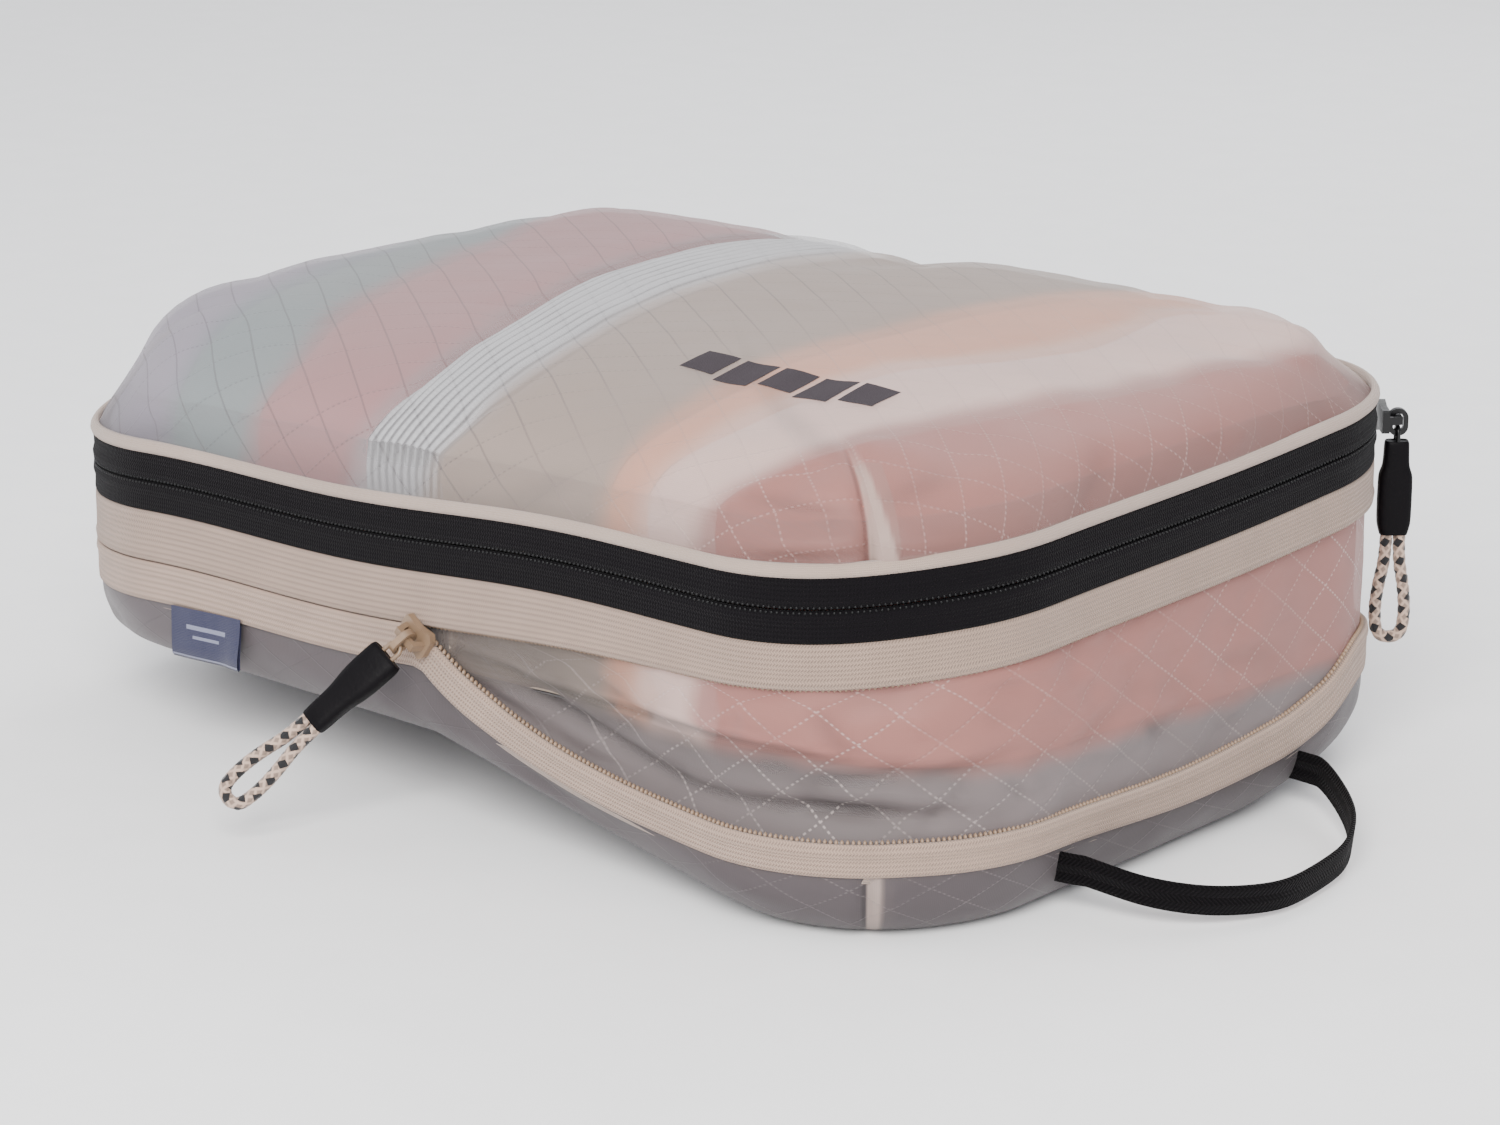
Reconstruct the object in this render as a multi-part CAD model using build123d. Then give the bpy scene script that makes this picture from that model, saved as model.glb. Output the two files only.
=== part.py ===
from build123d import *
import math
import os

# A soft packing cube for a suitcase, packed with folded garments.
#
# Frame: +X towards the short side with the carry handle, -Y towards the long side
# with the open end of the compression zipper, +Z up. The origin is the middle of
# the plan on the surface that the cube stands on. Millimetres.
#
# From the floor up: lower shell, lower tape of the cream compression zipper, a
# wedge-shaped gusset, upper cream tape, black main zipper, domed lid.

# ---- driving dimensions -------------------------------------------------------
LENGTH = 368.0            # along X
WIDTH = 268.0             # along Y
CORNER = 66.0             # plan radius of the vertical corners
INNER_CORNER = 24.0       # the least radius, near the middle of the lid
HALF_X = LENGTH / 2
HALF_Y = WIDTH / 2

SKIN = 1.2                # thickness that stands for one layer of sewn fabric
GAP = 0.3                 # room between neighbours that don't move
CHAIN_Z = 88.5            # main zipper's chain on the front wall at X = 0
RISE_X = 0.05             # the upper half tilts up towards +X ...
RISE_Y = 0.035            # ... and towards the back
TAPE_HALF = 9.5           # visible half height of the black zipper
UPPER_TAPE = 16.0         # cream tape under the black zipper
LOWER_TAPE = 11.0         # cream tape above the lower shell
CHAIN_SLIT = 0.4          # slit between the two coils of a zipper
COIL_HEIGHT = 1.6
COIL_IN = 3.4             # how far a coil reaches inwards from the wall
ZIP_END_Y = 122.0         # the main zipper ends on the back corners

OPEN_X = 2.0              # the compression zipper is open from here to +X
LOWER_TOP = [(22, 50.0), (45, 41.0), (70, 35.0), (95, 31.5), (125, 29.2), (200, 28.5)]

# top of the lid, from its seam up: height over the seam, inset, share of the tilt
DOME = [(0, 0, 1.0), (10, 2, 0.8), (19, 8, 0.6), (26, 19, 0.45), (31, 38, 0.3), (35, 75, 0.2)]
DART_TOP = 29.0           # the corner darts end this high over the seam
# foot of the lower shell: height, inset
FOOT = [(0, 14), (4, 6), (10, 2), (17, 0)]
LIFT_EDGE_Y = -118.0      # the front left edge is lifted off the floor ...
LIFT_Z = 25.0             # ... by this much here
LIFT_SLOPE_Y = 0.284      # and comes down towards the middle
LIFT_SLOPE_X = 0.197      # and towards +X
BACK_LIFT = (168.0, 45.0) # the back right corner lifts off the floor past here ...
BACK_LIFT_SLOPE = 0.2     # ... by this much towards +X and the back

CONTENT_IN = 5.2          # the garments start this far inside the wall
GARMENT_TOP = 3.4         # and this far under the lid
GARMENT_FOOT = 2.8        # and this far over the outside of the lower shell

SLIDER_GAP = 0.6          # between a tape and the plate of its slider
CROWN_OUT = 6.2           # crown bar's middle, out from the wall
EYE_DROP = 4.65           # from the crown bar down to the eye of the link
GRIP_TOP = 7.0
GRIP_LENGTH = 29.5
CORD_D = 3.9
# sleeves of the pulls, as down, wide and thick
MAIN_GRIP = [(0, 7.6, 5.4), (8, 8.0, 5.8), (11, 10.4, 6.6), (26, 10.6, 6.6), (GRIP_LENGTH, 8.8, 5.8)]
COMPRESSION_GRIP = [(0, 11.4, 6.0), (2, 11.6, 6.6), (13, 11.0, 6.6), (18, 8.9, 6.2), (GRIP_LENGTH, 8.4, 5.8)]
SLIDER_ARC = 43.0         # main slider's place on the back right corner, degrees
SLIDER_X = 4.0            # compression slider's place
SLIDER_Z = 60.0
PULL_DOWN = Vector(-0.463, -0.597, -0.657)

WEBBING = 9.5
WEBBING_T = 1.4
HANDLE_X = 190.0          # hinge line of the handle
HANDLE_Z = 13.0
HANDLE_PATH = [(190.2, -59), (206, -54.5), (222, -41), (230.5, -18), (228, 8), (216, 33), (190.2, 54)]

BIG = 600.0
MIDDLE_Z = CHAIN_Z + RISE_Y * HALF_Y


# ---- helpers ------------------------------------------------------------------
def outline(inset):
    """The plan outline, moved inwards by inset."""
    radius = max(CORNER - inset, INNER_CORNER)
    return RectangleRounded(LENGTH - 2 * inset, WIDTH - 2 * inset, radius)


def ring(outer, inner):
    """A tall tube between two insets of the plan outline."""
    return Pos(0, 0, -BIG / 4) * extrude(outline(outer) - outline(inner), BIG)


def tilted(height, share=1.0):
    """A plane parallel to the upper half's seam, height above the chain."""
    x, y = RISE_X * share, RISE_Y * share
    return Plane(origin=(0, 0, MIDDLE_Z + height), x_dir=(1, 0, x), z_dir=(-x, -y, 1))


def slab(low, high):
    """All of space between two heights over the chain."""
    return tilted(low) * Box(BIG, BIG, high - low, align=(Align.CENTER, Align.CENTER, Align.MIN))


def band(outer, inner, low, high):
    return ring(outer, inner) & slab(low, high)


def closed_height(x, below):
    return CHAIN_Z + RISE_X * x - below


def under_lower_tape(drop, thick):
    """The space from drop under the lower tape's top edge down by thick."""
    start = TAPE_HALF + UPPER_TAPE + CHAIN_SLIT
    joint = (OPEN_X, closed_height(OPEN_X, start))
    left = (-220, closed_height(-220, start))
    top = Line(left, joint) + Spline([joint] + LOWER_TOP, tangents=[(1, -0.55), (1, 0)])
    low = Pos(0, -thick) * Line(left, joint)
    low += Pos(0, -thick) * Spline([joint] + LOWER_TOP, tangents=[(1, -0.55), (1, 0)])
    right = LOWER_TOP[-1]
    ends = [
        Line(left, (left[0], left[1] - thick)),
        Line(right, (right[0], right[1] - thick)),
    ]
    face = make_face(top.edges() + low.edges() + ends)
    front = Plane(origin=(0, -HALF_Y, -drop), x_dir=(1, 0, 0), z_dir=(0, -1, 0)) * face
    slope = Vector(0, 1, RISE_Y)
    near = extrude(front, 40, dir=-slope)
    return near + extrude(front, WIDTH + 40, dir=slope)


def dome(skin):
    """The lid's outer form with a layer of skin taken off, carried down past the walls."""
    faces = [Plane(origin=(0, 0, -20)) * outline(skin)]
    for height, inset, share in DOME:
        faces.append(tilted(TAPE_HALF + height - skin * (height > 0), share) * outline(inset + skin))
    return loft(faces, ruled=True)


def below_plane(point, slope_x, slope_y):
    plane = Plane(origin=point, x_dir=(1, 0, -slope_x), z_dir=(slope_x, slope_y, 1))
    return plane * Box(BIG, BIG, BIG, align=(Align.CENTER, Align.CENTER, Align.MAX))


def lower_form(skin):
    """The lower shell's form with a layer of skin taken off, carried up past the walls."""
    faces = [Plane(origin=(0, 0, z + skin * (z == 0))) * outline(inset + skin) for z, inset in FOOT]
    faces.append(Plane(origin=(0, 0, 220)) * outline(skin))
    corner = (0, LIFT_EDGE_Y, LIFT_Z + skin)
    lift = below_plane(corner, LIFT_SLOPE_X, LIFT_SLOPE_Y) & below_plane(corner, 0, LIFT_SLOPE_Y)
    back = below_plane((*BACK_LIFT, skin), -BACK_LIFT_SLOPE, -BACK_LIFT_SLOPE)
    return loft(faces, ruled=True) - lift - back


def corner_posts(width):
    """Four upright slices through the plan's corners, square to the wall there."""
    posts = []
    middle = (HALF_X - CORNER, HALF_Y - CORNER)
    for sx in (-1, 1):
        for sy in (-1, 1):
            turn = math.degrees(math.atan2(sy, sx))
            post = Pos(sx * middle[0], sy * middle[1], 0) * Rot(0, 0, turn)
            posts.append(post * Pos(CORNER / 2, 0, 0) * Box(2 * CORNER, width, BIG))
    return posts


def save(name, shape):
    solids = shape.solids()
    assert solids, name
    export_step(Compound(label=name, children=list(solids)) if len(solids) > 1 else solids[0],
                f"parts/{name}.step")


# ---- lid ----------------------------------------------------------------------
def make_lid():
    above = slab(TAPE_HALF, 200)
    save("top_panel", (dome(0) - dome(SKIN)) & above)
    save("lid_edge_piping", band(-1.3, -0.05, TAPE_HALF - 0.4, TAPE_HALF + 2.4))
    front = Pos(0, ZIP_END_Y - BIG / 2, 0) * Box(BIG, BIG, BIG)
    back = Pos(0, ZIP_END_Y + GAP + BIG / 2, 0) * Box(BIG, BIG, BIG)
    half_slit = CHAIN_SLIT / 2
    save("main_zip_upper_tape", band(0, SKIN, half_slit, TAPE_HALF - 0.5) & front)
    save("lid_back_strip", band(0, SKIN, half_slit, TAPE_HALF - 0.5) & back)
    coil = band(SKIN + GAP, COIL_IN, half_slit, half_slit + COIL_HEIGHT)
    save("main_zip_upper_coil", coil & front)
    lining = (dome(SKIN + 0.1) - dome(SKIN + 0.8)) & slab(TAPE_HALF + 1, TAPE_HALF + DART_TOP)
    save("top_corner_seams", Compound([s for post in corner_posts(8) for s in (lining & post).solids()]))


# ---- middle band, between the two zippers ----------------------------------------
def make_middle_band():
    front = Pos(0, ZIP_END_Y - BIG / 2, 0) * Box(BIG, BIG, BIG)
    back = Pos(0, ZIP_END_Y + GAP + BIG / 2, 0) * Box(BIG, BIG, BIG)
    half_slit = CHAIN_SLIT / 2
    save("main_zip_lower_tape", band(0, SKIN, -TAPE_HALF, -half_slit) & front)
    save("band_back_strip", band(0, SKIN, -TAPE_HALF, -half_slit) & back)
    coil = band(SKIN + GAP, COIL_IN, -half_slit - COIL_HEIGHT, -half_slit)
    save("main_zip_lower_coil", coil & front)
    low = -TAPE_HALF - UPPER_TAPE
    save("compression_zip_upper_tape", band(0, SKIN, low, -TAPE_HALF - 0.1))
    save("compression_zip_upper_coil", band(SKIN + GAP, COIL_IN, low, low + COIL_HEIGHT))
    save("band_seam_binding", band(SKIN + GAP, SKIN + 1.2, -TAPE_HALF - 3, -TAPE_HALF + 3))
    tabs = []
    for side in (-1, 1):
        cut = Pos(side * HALF_X, ZIP_END_Y + 2.5, 0) * Box(WIDTH / 2, 7, BIG)
        tabs += (band(-0.7, -0.1, -TAPE_HALF, -half_slit - 0.4) & cut).solids()
    save("main_zip_end_tabs", Compound(tabs))


# ---- lower half ------------------------------------------------------------------
def make_lower_half():
    save("compression_zip_lower_tape", ring(0, SKIN) & under_lower_tape(0, LOWER_TAPE))
    coil = ring(SKIN + GAP, COIL_IN) & under_lower_tape(0, COIL_HEIGHT)
    save("compression_zip_lower_coil", coil)
    below = under_lower_tape(LOWER_TAPE + 0.1, 120)
    save("lower_shell", (lower_form(0) - lower_form(SKIN)) & below)
    save("lower_seam_binding", ring(SKIN + GAP, SKIN + 1.2) & under_lower_tape(LOWER_TAPE - 3, 4))
    lining = (lower_form(SKIN + 0.1) - lower_form(SKIN + 0.8)) & under_lower_tape(LOWER_TAPE + 5, 80)
    posts = [s for post in corner_posts(8) for s in (lining & post).solids()]
    inner = Box(2 * (HALF_X - 26), 2 * (HALF_Y - 26), BIG)
    save("lower_corner_seams", Compound([s for p in posts for s in (p - inner).solids()]))


def make_gusset():
    """The pleated wall that shows where the compression zipper is open."""
    open_side = Pos(OPEN_X + 6 + BIG / 2, 0, 0) * Box(BIG, BIG, BIG)
    between = slab(-120, -TAPE_HALF - UPPER_TAPE - GAP) & open_side
    wall = ring(SKIN + GAP, SKIN + 1.2) & between
    save("gusset", wall - under_lower_tape(-GAP, 200))


def make_label():
    label = Box(32, 0.7, 16, align=(Align.CENTER, Align.MAX, Align.MIN))
    save("side_label", Pos(-90, -HALF_Y - 0.3, 30.5) * Rot(0, -3, 0) * label)


# ---- garments: folded pieces side by side, with a flat one under them -----------------
# each with the X of its left edge, at the front and at the back
GARMENTS = [("lavender_shirt", -200, -200), ("mint_shirt", -109, -168), ("pink_sweater", -69, -155),
            ("ribbed_top", -23, -72), ("taupe_trousers", 7, -38), ("peach_shirt", 73, 78),
            ("white_shirt", 90, 113), ("rose_sweater", 118, 168), ("", 200, 200)]
GREY_TOP = 44.0           # the flat grey garment fills the right half up to here


def make_garments():
    content = dome(GARMENT_TOP) & lower_form(GARMENT_FOOT)
    content = content & (Pos(0, 0, -BIG / 4) * extrude(outline(CONTENT_IN), BIG))
    grey_block = Pos(3, -BIG / 2, -10) * Box(
        BIG, BIG, GREY_TOP + 10, align=(Align.MIN, Align.MIN, Align.MIN))
    save("grey_trousers", content & grey_block)
    rest = content - (Pos(-0.4, 0, 0.4) * grey_block)
    for (name, front, back), (_, next_front, next_back) in zip(GARMENTS, GARMENTS[1:]):
        face = make_face(Polyline(
            (front + GAP, -HALF_Y), (next_front, -HALF_Y), (next_back, HALF_Y), (back + GAP, HALF_Y),
            close=True))
        save(name, rest & extrude(face, BIG))


# ---- zipper sliders and their pulls ---------------------------------------------------
# Each is drawn in its own plane: X out from the wall, Y along the zipper, Z up.
# The plane's origin is the middle of the crown's bar.
def make_slider(prefix, plane):
    plate_low = SLIDER_GAP - CROWN_OUT
    plate = Plane.YZ * make_face(Polyline(
        (-6, -3.6), (0, -3.6), (4.5, -5), (6, -3.2), (6, 3.2), (4.5, 5), (0, 3.6), (-6, 3.6), close=True))
    body = Pos(plate_low, 0, 0) * extrude(plate, 2.2, dir=(1, 0, 0))
    body = fillet(body.edges().filter_by(Axis.X), 0.8)
    save(f"{prefix}_slider_body", plane * body)
    top = plate_low + 2.2
    arch = Plane.XY * make_face(Polyline(
        (top, -4.8), (0.8, -4.0), (0.8, 4.0), (top, 4.8), (top, 3.2), (-0.8, 2.6),
        (-0.8, -2.6), (top, -3.2), close=True))
    crown = Pos(0, 0, -1.2) * extrude(arch, 2.4)
    save(f"{prefix}_slider_crown", plane * crown)


def make_link(prefix, plane):
    plate = Pos(0, -1.15) * RectangleRounded(6.2, 8.5, 3.0)
    hole = Pos(0, -1.15) * RectangleRounded(3.2, 5.5, 1.55)
    link = Plane(origin=(0, 1.0, 0), x_dir=(1, 0, 0), z_dir=(0, -1, 0)) * extrude(plate - hole, 2.0)
    save(f"{prefix}_pull_link", plane * link)


def make_pull(prefix, plane, turn, shape):
    eye_r = 2.05
    legs = GRIP_TOP - EYE_DROP
    arc = CenterArc((0, 0), eye_r, 0, 180)
    path = Line((eye_r, -legs), (eye_r, 0)) + arc + Line((-eye_r, 0), (-eye_r, -legs))
    path = Plane(origin=(0, 0, -EYE_DROP), x_dir=(0, 1, 0), z_dir=(1, 0, 0)) * path
    start = Plane(origin=(0, eye_r, -GRIP_TOP), z_dir=(0, 0, 1))
    save(f"{prefix}_pull_eye", plane * sweep(start * Circle(0.7), path))

    faces = []
    for down, wide, thick in shape:
        level = Pos(0, 0, -GRIP_TOP - down) * Rot(0, 0, turn)
        faces.append(level * RectangleRounded(thick, wide, thick * 0.45))
    grip = loft(faces, ruled=True)
    save(f"{prefix}_pull_grip", plane * grip)

    # the loop of cord under the grip, as half of its points: sideways, down
    half = [(2.0, 0.0), (2.0, 7.6), (3.9, 16.6), (4.7, 25.4), (3.6, 33.0)]
    route = half + [(-side, down) for side, down in reversed(half)]
    foot = GRIP_TOP + GRIP_LENGTH
    spin = math.radians(turn)
    points = [
        Vector(side * math.sin(spin), side * math.cos(spin), -foot - down) for side, down in route
    ]
    cord = tube(points, CORD_D)
    save(f"{prefix}_pull_cord", plane * cord)


def tube(points, diameter):
    """A round tube on straight runs joined by arcs as large as the runs allow."""
    radii = []
    for before, here, after in zip(points, points[1:], points[2:]):
        first, second = here - before, after - here
        half_turn = math.radians(first.get_angle(second)) / 2
        radii.append(0.45 * min(first.length, second.length) / math.tan(half_turn))
    print("cord radii", [round(r, 1) for r in radii])
    path = FilletPolyline(*points, radius=radii)
    section = Plane(origin=points[0], z_dir=points[1] - points[0]) * Circle(diameter / 2)
    solid = sweep(section, path)
    expected = math.pi * diameter**2 / 4 * path.length
    print("cord length", round(path.length, 1), "volume against expected", round(solid.volume / expected, 3))
    return solid


def main_slider_plane():
    turn = math.radians(SLIDER_ARC)
    out = Vector(math.cos(turn), math.sin(turn), 0)
    centre = Vector(HALF_X - CORNER, HALF_Y - CORNER, 0)
    spot = centre + out * (CORNER + CROWN_OUT)
    height = MIDDLE_Z + RISE_X * spot.X + RISE_Y * spot.Y
    return Plane(origin=(spot.X, spot.Y, height), x_dir=out, z_dir=(0, 0, 1))


def compression_slider_planes():
    spot = (SLIDER_X, -HALF_Y - CROWN_OUT, SLIDER_Z)
    up = (PULL_DOWN * -1).normalized()
    along = Vector(up.Z, 0, -up.X).normalized()
    out = Vector(0, -1, 0)
    body = Plane(origin=spot, x_dir=out, z_dir=out.cross(along))
    pull = Plane(origin=spot, x_dir=along.cross(up), z_dir=up)
    return body, pull


def make_sliders():
    main = main_slider_plane()
    make_slider("main", main)
    make_link("main", main)
    make_pull("main", main, 90, MAIN_GRIP)
    body, pull = compression_slider_planes()
    make_slider("compression", body)
    make_link("compression", pull)
    make_pull("compression", pull, 0, COMPRESSION_GRIP)


# ---- carry handle -----------------------------------------------------------------------
def make_handle():
    path = FilletPolyline(*HANDLE_PATH, radius=9)
    strip = offset(path, WEBBING_T / 2, side=Side.BOTH)
    webbing = Pos(0, 0, -WEBBING / 2) * extrude(make_face(strip.edges()), WEBBING)
    drop = math.degrees(math.asin((HANDLE_Z - WEBBING / 2 - 1.2) / (HANDLE_PATH[3][0] - HANDLE_X)))
    hinge = Pos(HANDLE_X, 0, HANDLE_Z) * Rot(0, drop, 0) * Pos(-HANDLE_X, 0, 0)
    save("handle_webbing", hinge * webbing)
    anchors = []
    for y in (HANDLE_PATH[0][1], HANDLE_PATH[-1][1]):
        anchors.append(Pos(HALF_X + 0.5, y, HANDLE_Z) * Box(0.8, 11, WEBBING))
    save("handle_anchors", Compound(anchors))


os.makedirs("parts", exist_ok=True)
make_lid()
make_middle_band()
make_lower_half()
make_gusset()
make_label()
make_garments()
make_sliders()
make_handle()
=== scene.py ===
import math

import bmesh
import bpy
import numpy as np
from mathutils import Matrix, Vector, kdtree, noise


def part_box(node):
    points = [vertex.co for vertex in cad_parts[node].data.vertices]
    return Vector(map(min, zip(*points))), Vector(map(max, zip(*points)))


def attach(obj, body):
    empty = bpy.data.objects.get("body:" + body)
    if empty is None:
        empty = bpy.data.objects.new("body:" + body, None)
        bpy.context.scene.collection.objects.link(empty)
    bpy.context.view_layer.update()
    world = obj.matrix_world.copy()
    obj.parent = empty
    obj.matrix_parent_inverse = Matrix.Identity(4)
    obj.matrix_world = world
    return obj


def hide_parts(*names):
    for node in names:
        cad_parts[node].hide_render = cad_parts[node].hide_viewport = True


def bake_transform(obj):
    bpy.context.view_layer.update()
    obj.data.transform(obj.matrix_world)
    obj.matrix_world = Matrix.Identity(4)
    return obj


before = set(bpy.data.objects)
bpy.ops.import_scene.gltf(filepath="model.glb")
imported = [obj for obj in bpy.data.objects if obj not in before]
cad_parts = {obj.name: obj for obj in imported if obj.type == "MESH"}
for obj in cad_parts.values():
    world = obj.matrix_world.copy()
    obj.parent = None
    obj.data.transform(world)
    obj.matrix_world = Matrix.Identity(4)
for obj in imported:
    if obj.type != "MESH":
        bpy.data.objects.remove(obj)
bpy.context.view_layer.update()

# The looks of a soft packing cube full of folded garments. Shapes are worked out in
# millimetres, in the CAD's frame, and turned into metres where a mesh is made.
MM = 0.001
TAU = 2 * math.pi

# ---- driving dimensions, from the frame
def box_of(node):
    """The low and high corner of a CAD node, in millimetres."""
    return [[c / MM for c in corner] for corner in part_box(node)]


_, (HALF_X, HALF_Y, _) = box_of("compression_zip_upper_tape")
CORNER = 66.0                 # plan radius of the vertical corners
STRAIGHT_X = HALF_X - CORNER
STRAIGHT_Y = HALF_Y - CORNER
ARC = CORNER * math.pi / 2
PERIMETER = 4 * (STRAIGHT_X + STRAIGHT_Y + ARC)
STEP = 4.0                    # usual distance between stations along the wall

RISE_X = 0.05                 # the upper half tilts up towards +X and the back
RISE_Y = 0.035
CHAIN_Z = 88.5 + RISE_Y * HALF_Y
TAPE_HALF = 9.5               # half height of the black zipper
UPPER_TAPE = 16.0             # cream tape over the slit of the compression zipper
SLIT = 0.4
SLIT_DROP = TAPE_HALF + UPPER_TAPE + SLIT / 2
OPEN_X = 2.0                  # the compression zipper is open from here to +X
LOWER_TOP = [(22, 50.0), (45, 41.0), (70, 35.0), (95, 31.5), (125, 29.2), (200, 28.5)]
LIFT_EDGE_Y = -118.0          # the foot's front left is lifted off the floor
LIFT_Z = 25.0
LIFT_SLOPE_Y = 0.284
LIFT_SLOPE_X = 0.197
BACK_LIFT = (168.0, 45.0)
BACK_LIFT_SLOPE = 0.2
ZIP_END_Y = 122.0             # the black zipper ends on the back corners
BLEND_HALF = 2.6              # half height of the zone where the expanding fabric starts to stretch
EXPAND_SLOPE = 0.14           # how much the expanded fabric lengthens for each step towards -X


# ---- curves
def smooth_curve(points):
    """A function through points, monotone between them."""
    x, y = np.array(points, float).T
    step = np.diff(x)
    slope = np.diff(y) / step
    tangent = np.zeros(len(x))
    same = slope[:-1] * slope[1:] > 0
    tangent[1:-1][same] = 2 * slope[:-1][same] * slope[1:][same] / (slope[:-1] + slope[1:])[same]
    tangent[0], tangent[-1] = slope[0], slope[-1]

    def at(value):
        value = np.clip(value, x[0], x[-1])
        i = np.clip(np.searchsorted(x, value) - 1, 0, len(step) - 1)
        t = (value - x[i]) / step[i]
        return (y[i] * (1 + 2 * t) * (1 - t) ** 2 + tangent[i] * step[i] * t * (1 - t) ** 2
                + y[i + 1] * t * t * (3 - 2 * t) + tangent[i + 1] * step[i] * t * t * (t - 1))
    return at


def smoothstep(low, high, value):
    t = np.clip((value - low) / (high - low), 0, 1)
    return t * t * (3 - 2 * t)


def bell(value, middle, width, power=2):
    """1 at the middle, falling to nothing a few widths away."""
    return np.exp(-((value - middle) / width) ** power)


def running(lengths):
    """The distance gone before each point of a line, from the lengths between its points."""
    return np.concatenate([[0], np.cumsum(lengths)])


def points_of(*coordinates):
    """Points from their coordinates, whatever shape those come in."""
    return np.stack(np.broadcast_arrays(*coordinates), -1)


def ripple(a, b, seed, octaves=1):
    """Seeded smooth noise over two coordinates, about -1 to 1."""
    a, b = np.broadcast_arrays(np.asarray(a, float), np.asarray(b, float))
    total = np.zeros(a.shape)
    for octave in range(octaves):
        scale = 2 ** octave
        flat = [noise.noise((u * scale, v * scale, seed + octave)) for u, v in zip(a.ravel(), b.ravel())]
        total += np.reshape(flat, a.shape) / scale
    return total


def folds(u, v, creases):
    """The height of soft creases, each (u0, v0, u1, v1, half width, height), tapering at its ends."""
    total = np.zeros(np.broadcast(u, v).shape)
    for u0, v0, u1, v1, width, height in creases:
        length2 = (u1 - u0) ** 2 + (v1 - v0) ** 2
        t = ((u - u0) * (u1 - u0) + (v - v0) * (v1 - v0)) / length2
        inside = np.clip(t, 0, 1)
        away2 = (u - u0 - inside * (u1 - u0)) ** 2 + (v - v0 - inside * (v1 - v0)) ** 2
        taper = np.sin(np.pi * np.clip(0.12 + 0.76 * inside, 0, 1))
        total += height * np.exp(-away2 / width ** 2) * taper
    return total


# ---- the plan: an outline walked anticlockwise from the middle of the back
def plan(s):
    """x, y and the outward normal of the outline at distance s along it."""
    s = np.mod(np.asarray(s, float), PERIMETER)
    legs = [(STRAIGHT_X, 0, 1), (2 * STRAIGHT_Y, 1, 1), (2 * STRAIGHT_X, 2, 1), (2 * STRAIGHT_Y, 3, 1),
            (STRAIGHT_X, 4, 0)]
    x, y, nx, ny = (np.zeros(s.shape) for _ in range(4))
    start = 0.0
    for length, turn, has_corner in legs:
        angle = math.pi / 2 * (1 + turn)
        out = np.array([math.cos(angle), math.sin(angle)])
        along = np.array([-out[1], out[0]])
        depth = abs(out[0]) * HALF_X + abs(out[1]) * HALF_Y
        before = -length if turn == 4 else (0 if turn == 0 else -length / 2)
        on = (s >= start) & (s <= start + length)
        way = before + s[on] - start
        x[on], y[on] = out[0] * depth + along[0] * way, out[1] * depth + along[1] * way
        nx[on], ny[on] = out
        start += length
        if has_corner:
            on = (s > start) & (s < start + ARC)
            bend = angle + (s[on] - start) / CORNER
            side = angle + math.pi / 4
            cx, cy = STRAIGHT_X * np.sign(math.cos(side)), STRAIGHT_Y * np.sign(math.sin(side))
            x[on], y[on] = cx + CORNER * np.cos(bend), cy + CORNER * np.sin(bend)
            nx[on], ny[on] = np.cos(bend), np.sin(bend)
            start += ARC
    return x, y, nx, ny


FRONT_S = STRAIGHT_X + 2 * STRAIGHT_Y + 2 * ARC + STRAIGHT_X      # the front wall's middle, x = 0
BACK_RIGHT_S = PERIMETER - STRAIGHT_X - ARC / 2
FRONT_LEFT_S = STRAIGHT_X + 2 * STRAIGHT_Y + 1.5 * ARC
NEAR_DART_SHIFT = 5.5         # the near corner's dart sits left of the corner's middle
DARTS = [STRAIGHT_X + ARC / 2, FRONT_LEFT_S, FRONT_S + STRAIGHT_X + ARC / 2 - NEAR_DART_SHIFT, BACK_RIGHT_S]
ZIP_END_S = STRAIGHT_X + ARC - CORNER * math.asin((ZIP_END_Y - STRAIGHT_Y) / CORNER)


def stations(start=0.0, stop=PERIMETER, step=STEP):
    return np.linspace(start, stop, max(3, int(round((stop - start) / step)) + 1))


SEAM_STATIONS = np.array([-1.8, -0.9, -0.2, 0.5, 1.2, 1.9, 2.9, 4.5, 5.5, 6.5, 7.3, 8.1, 8.8, 9.5])
DARTED_PATH = np.sort(np.concatenate([stations()[:-1]] + [dart + SEAM_STATIONS for dart in DARTS]))


def from_dart(s):
    """Distance along the wall to the nearest dart."""
    return np.min([np.abs(s - dart) for dart in DARTS], axis=0)


# ---- heights along the wall
SWAYS = 7                     # waves of the seams around the bag


def sway(s):
    """The sewn seams waver a little, most of all along the front."""
    _, _, _, ny = plan(s)
    size = 0.4 + 0.8 * smoothstep(0.3, 0.9, -ny)
    return size * np.cos(TAU * SWAYS * (s - FRONT_S + 110) / PERIMETER)


def seam_plane(x, y, share=1.0):
    return CHAIN_Z + share * (RISE_X * x + RISE_Y * y)


def chain(s):
    x, y, _, _ = plan(s)
    return seam_plane(x, y) + sway(s)


LOWER_LINE = smooth_curve([(OPEN_X - 1, 62.9), (OPEN_X, 62.6), (10, 57.0)] + LOWER_TOP)
BACK_CORNER_RISE = smooth_curve([(-110, 0), (-60, -2.5), (0, -6), (42, -4.5), (62, -1), (90, 8), (125, 4),
                                 (134, 0)])


def openness(s):
    """0 where the compression zipper is closed, 1 where its tapes are well apart."""
    x, _, _, _ = plan(s)
    return smoothstep(OPEN_X, 60, x)


def upper_low(s):
    """Lower edge of the upper cream tape, which hangs inwards where it is open."""
    return chain(s) - TAPE_HALF - UPPER_TAPE + 3.0 * smoothstep(20, 150, plan(s)[0])


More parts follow.
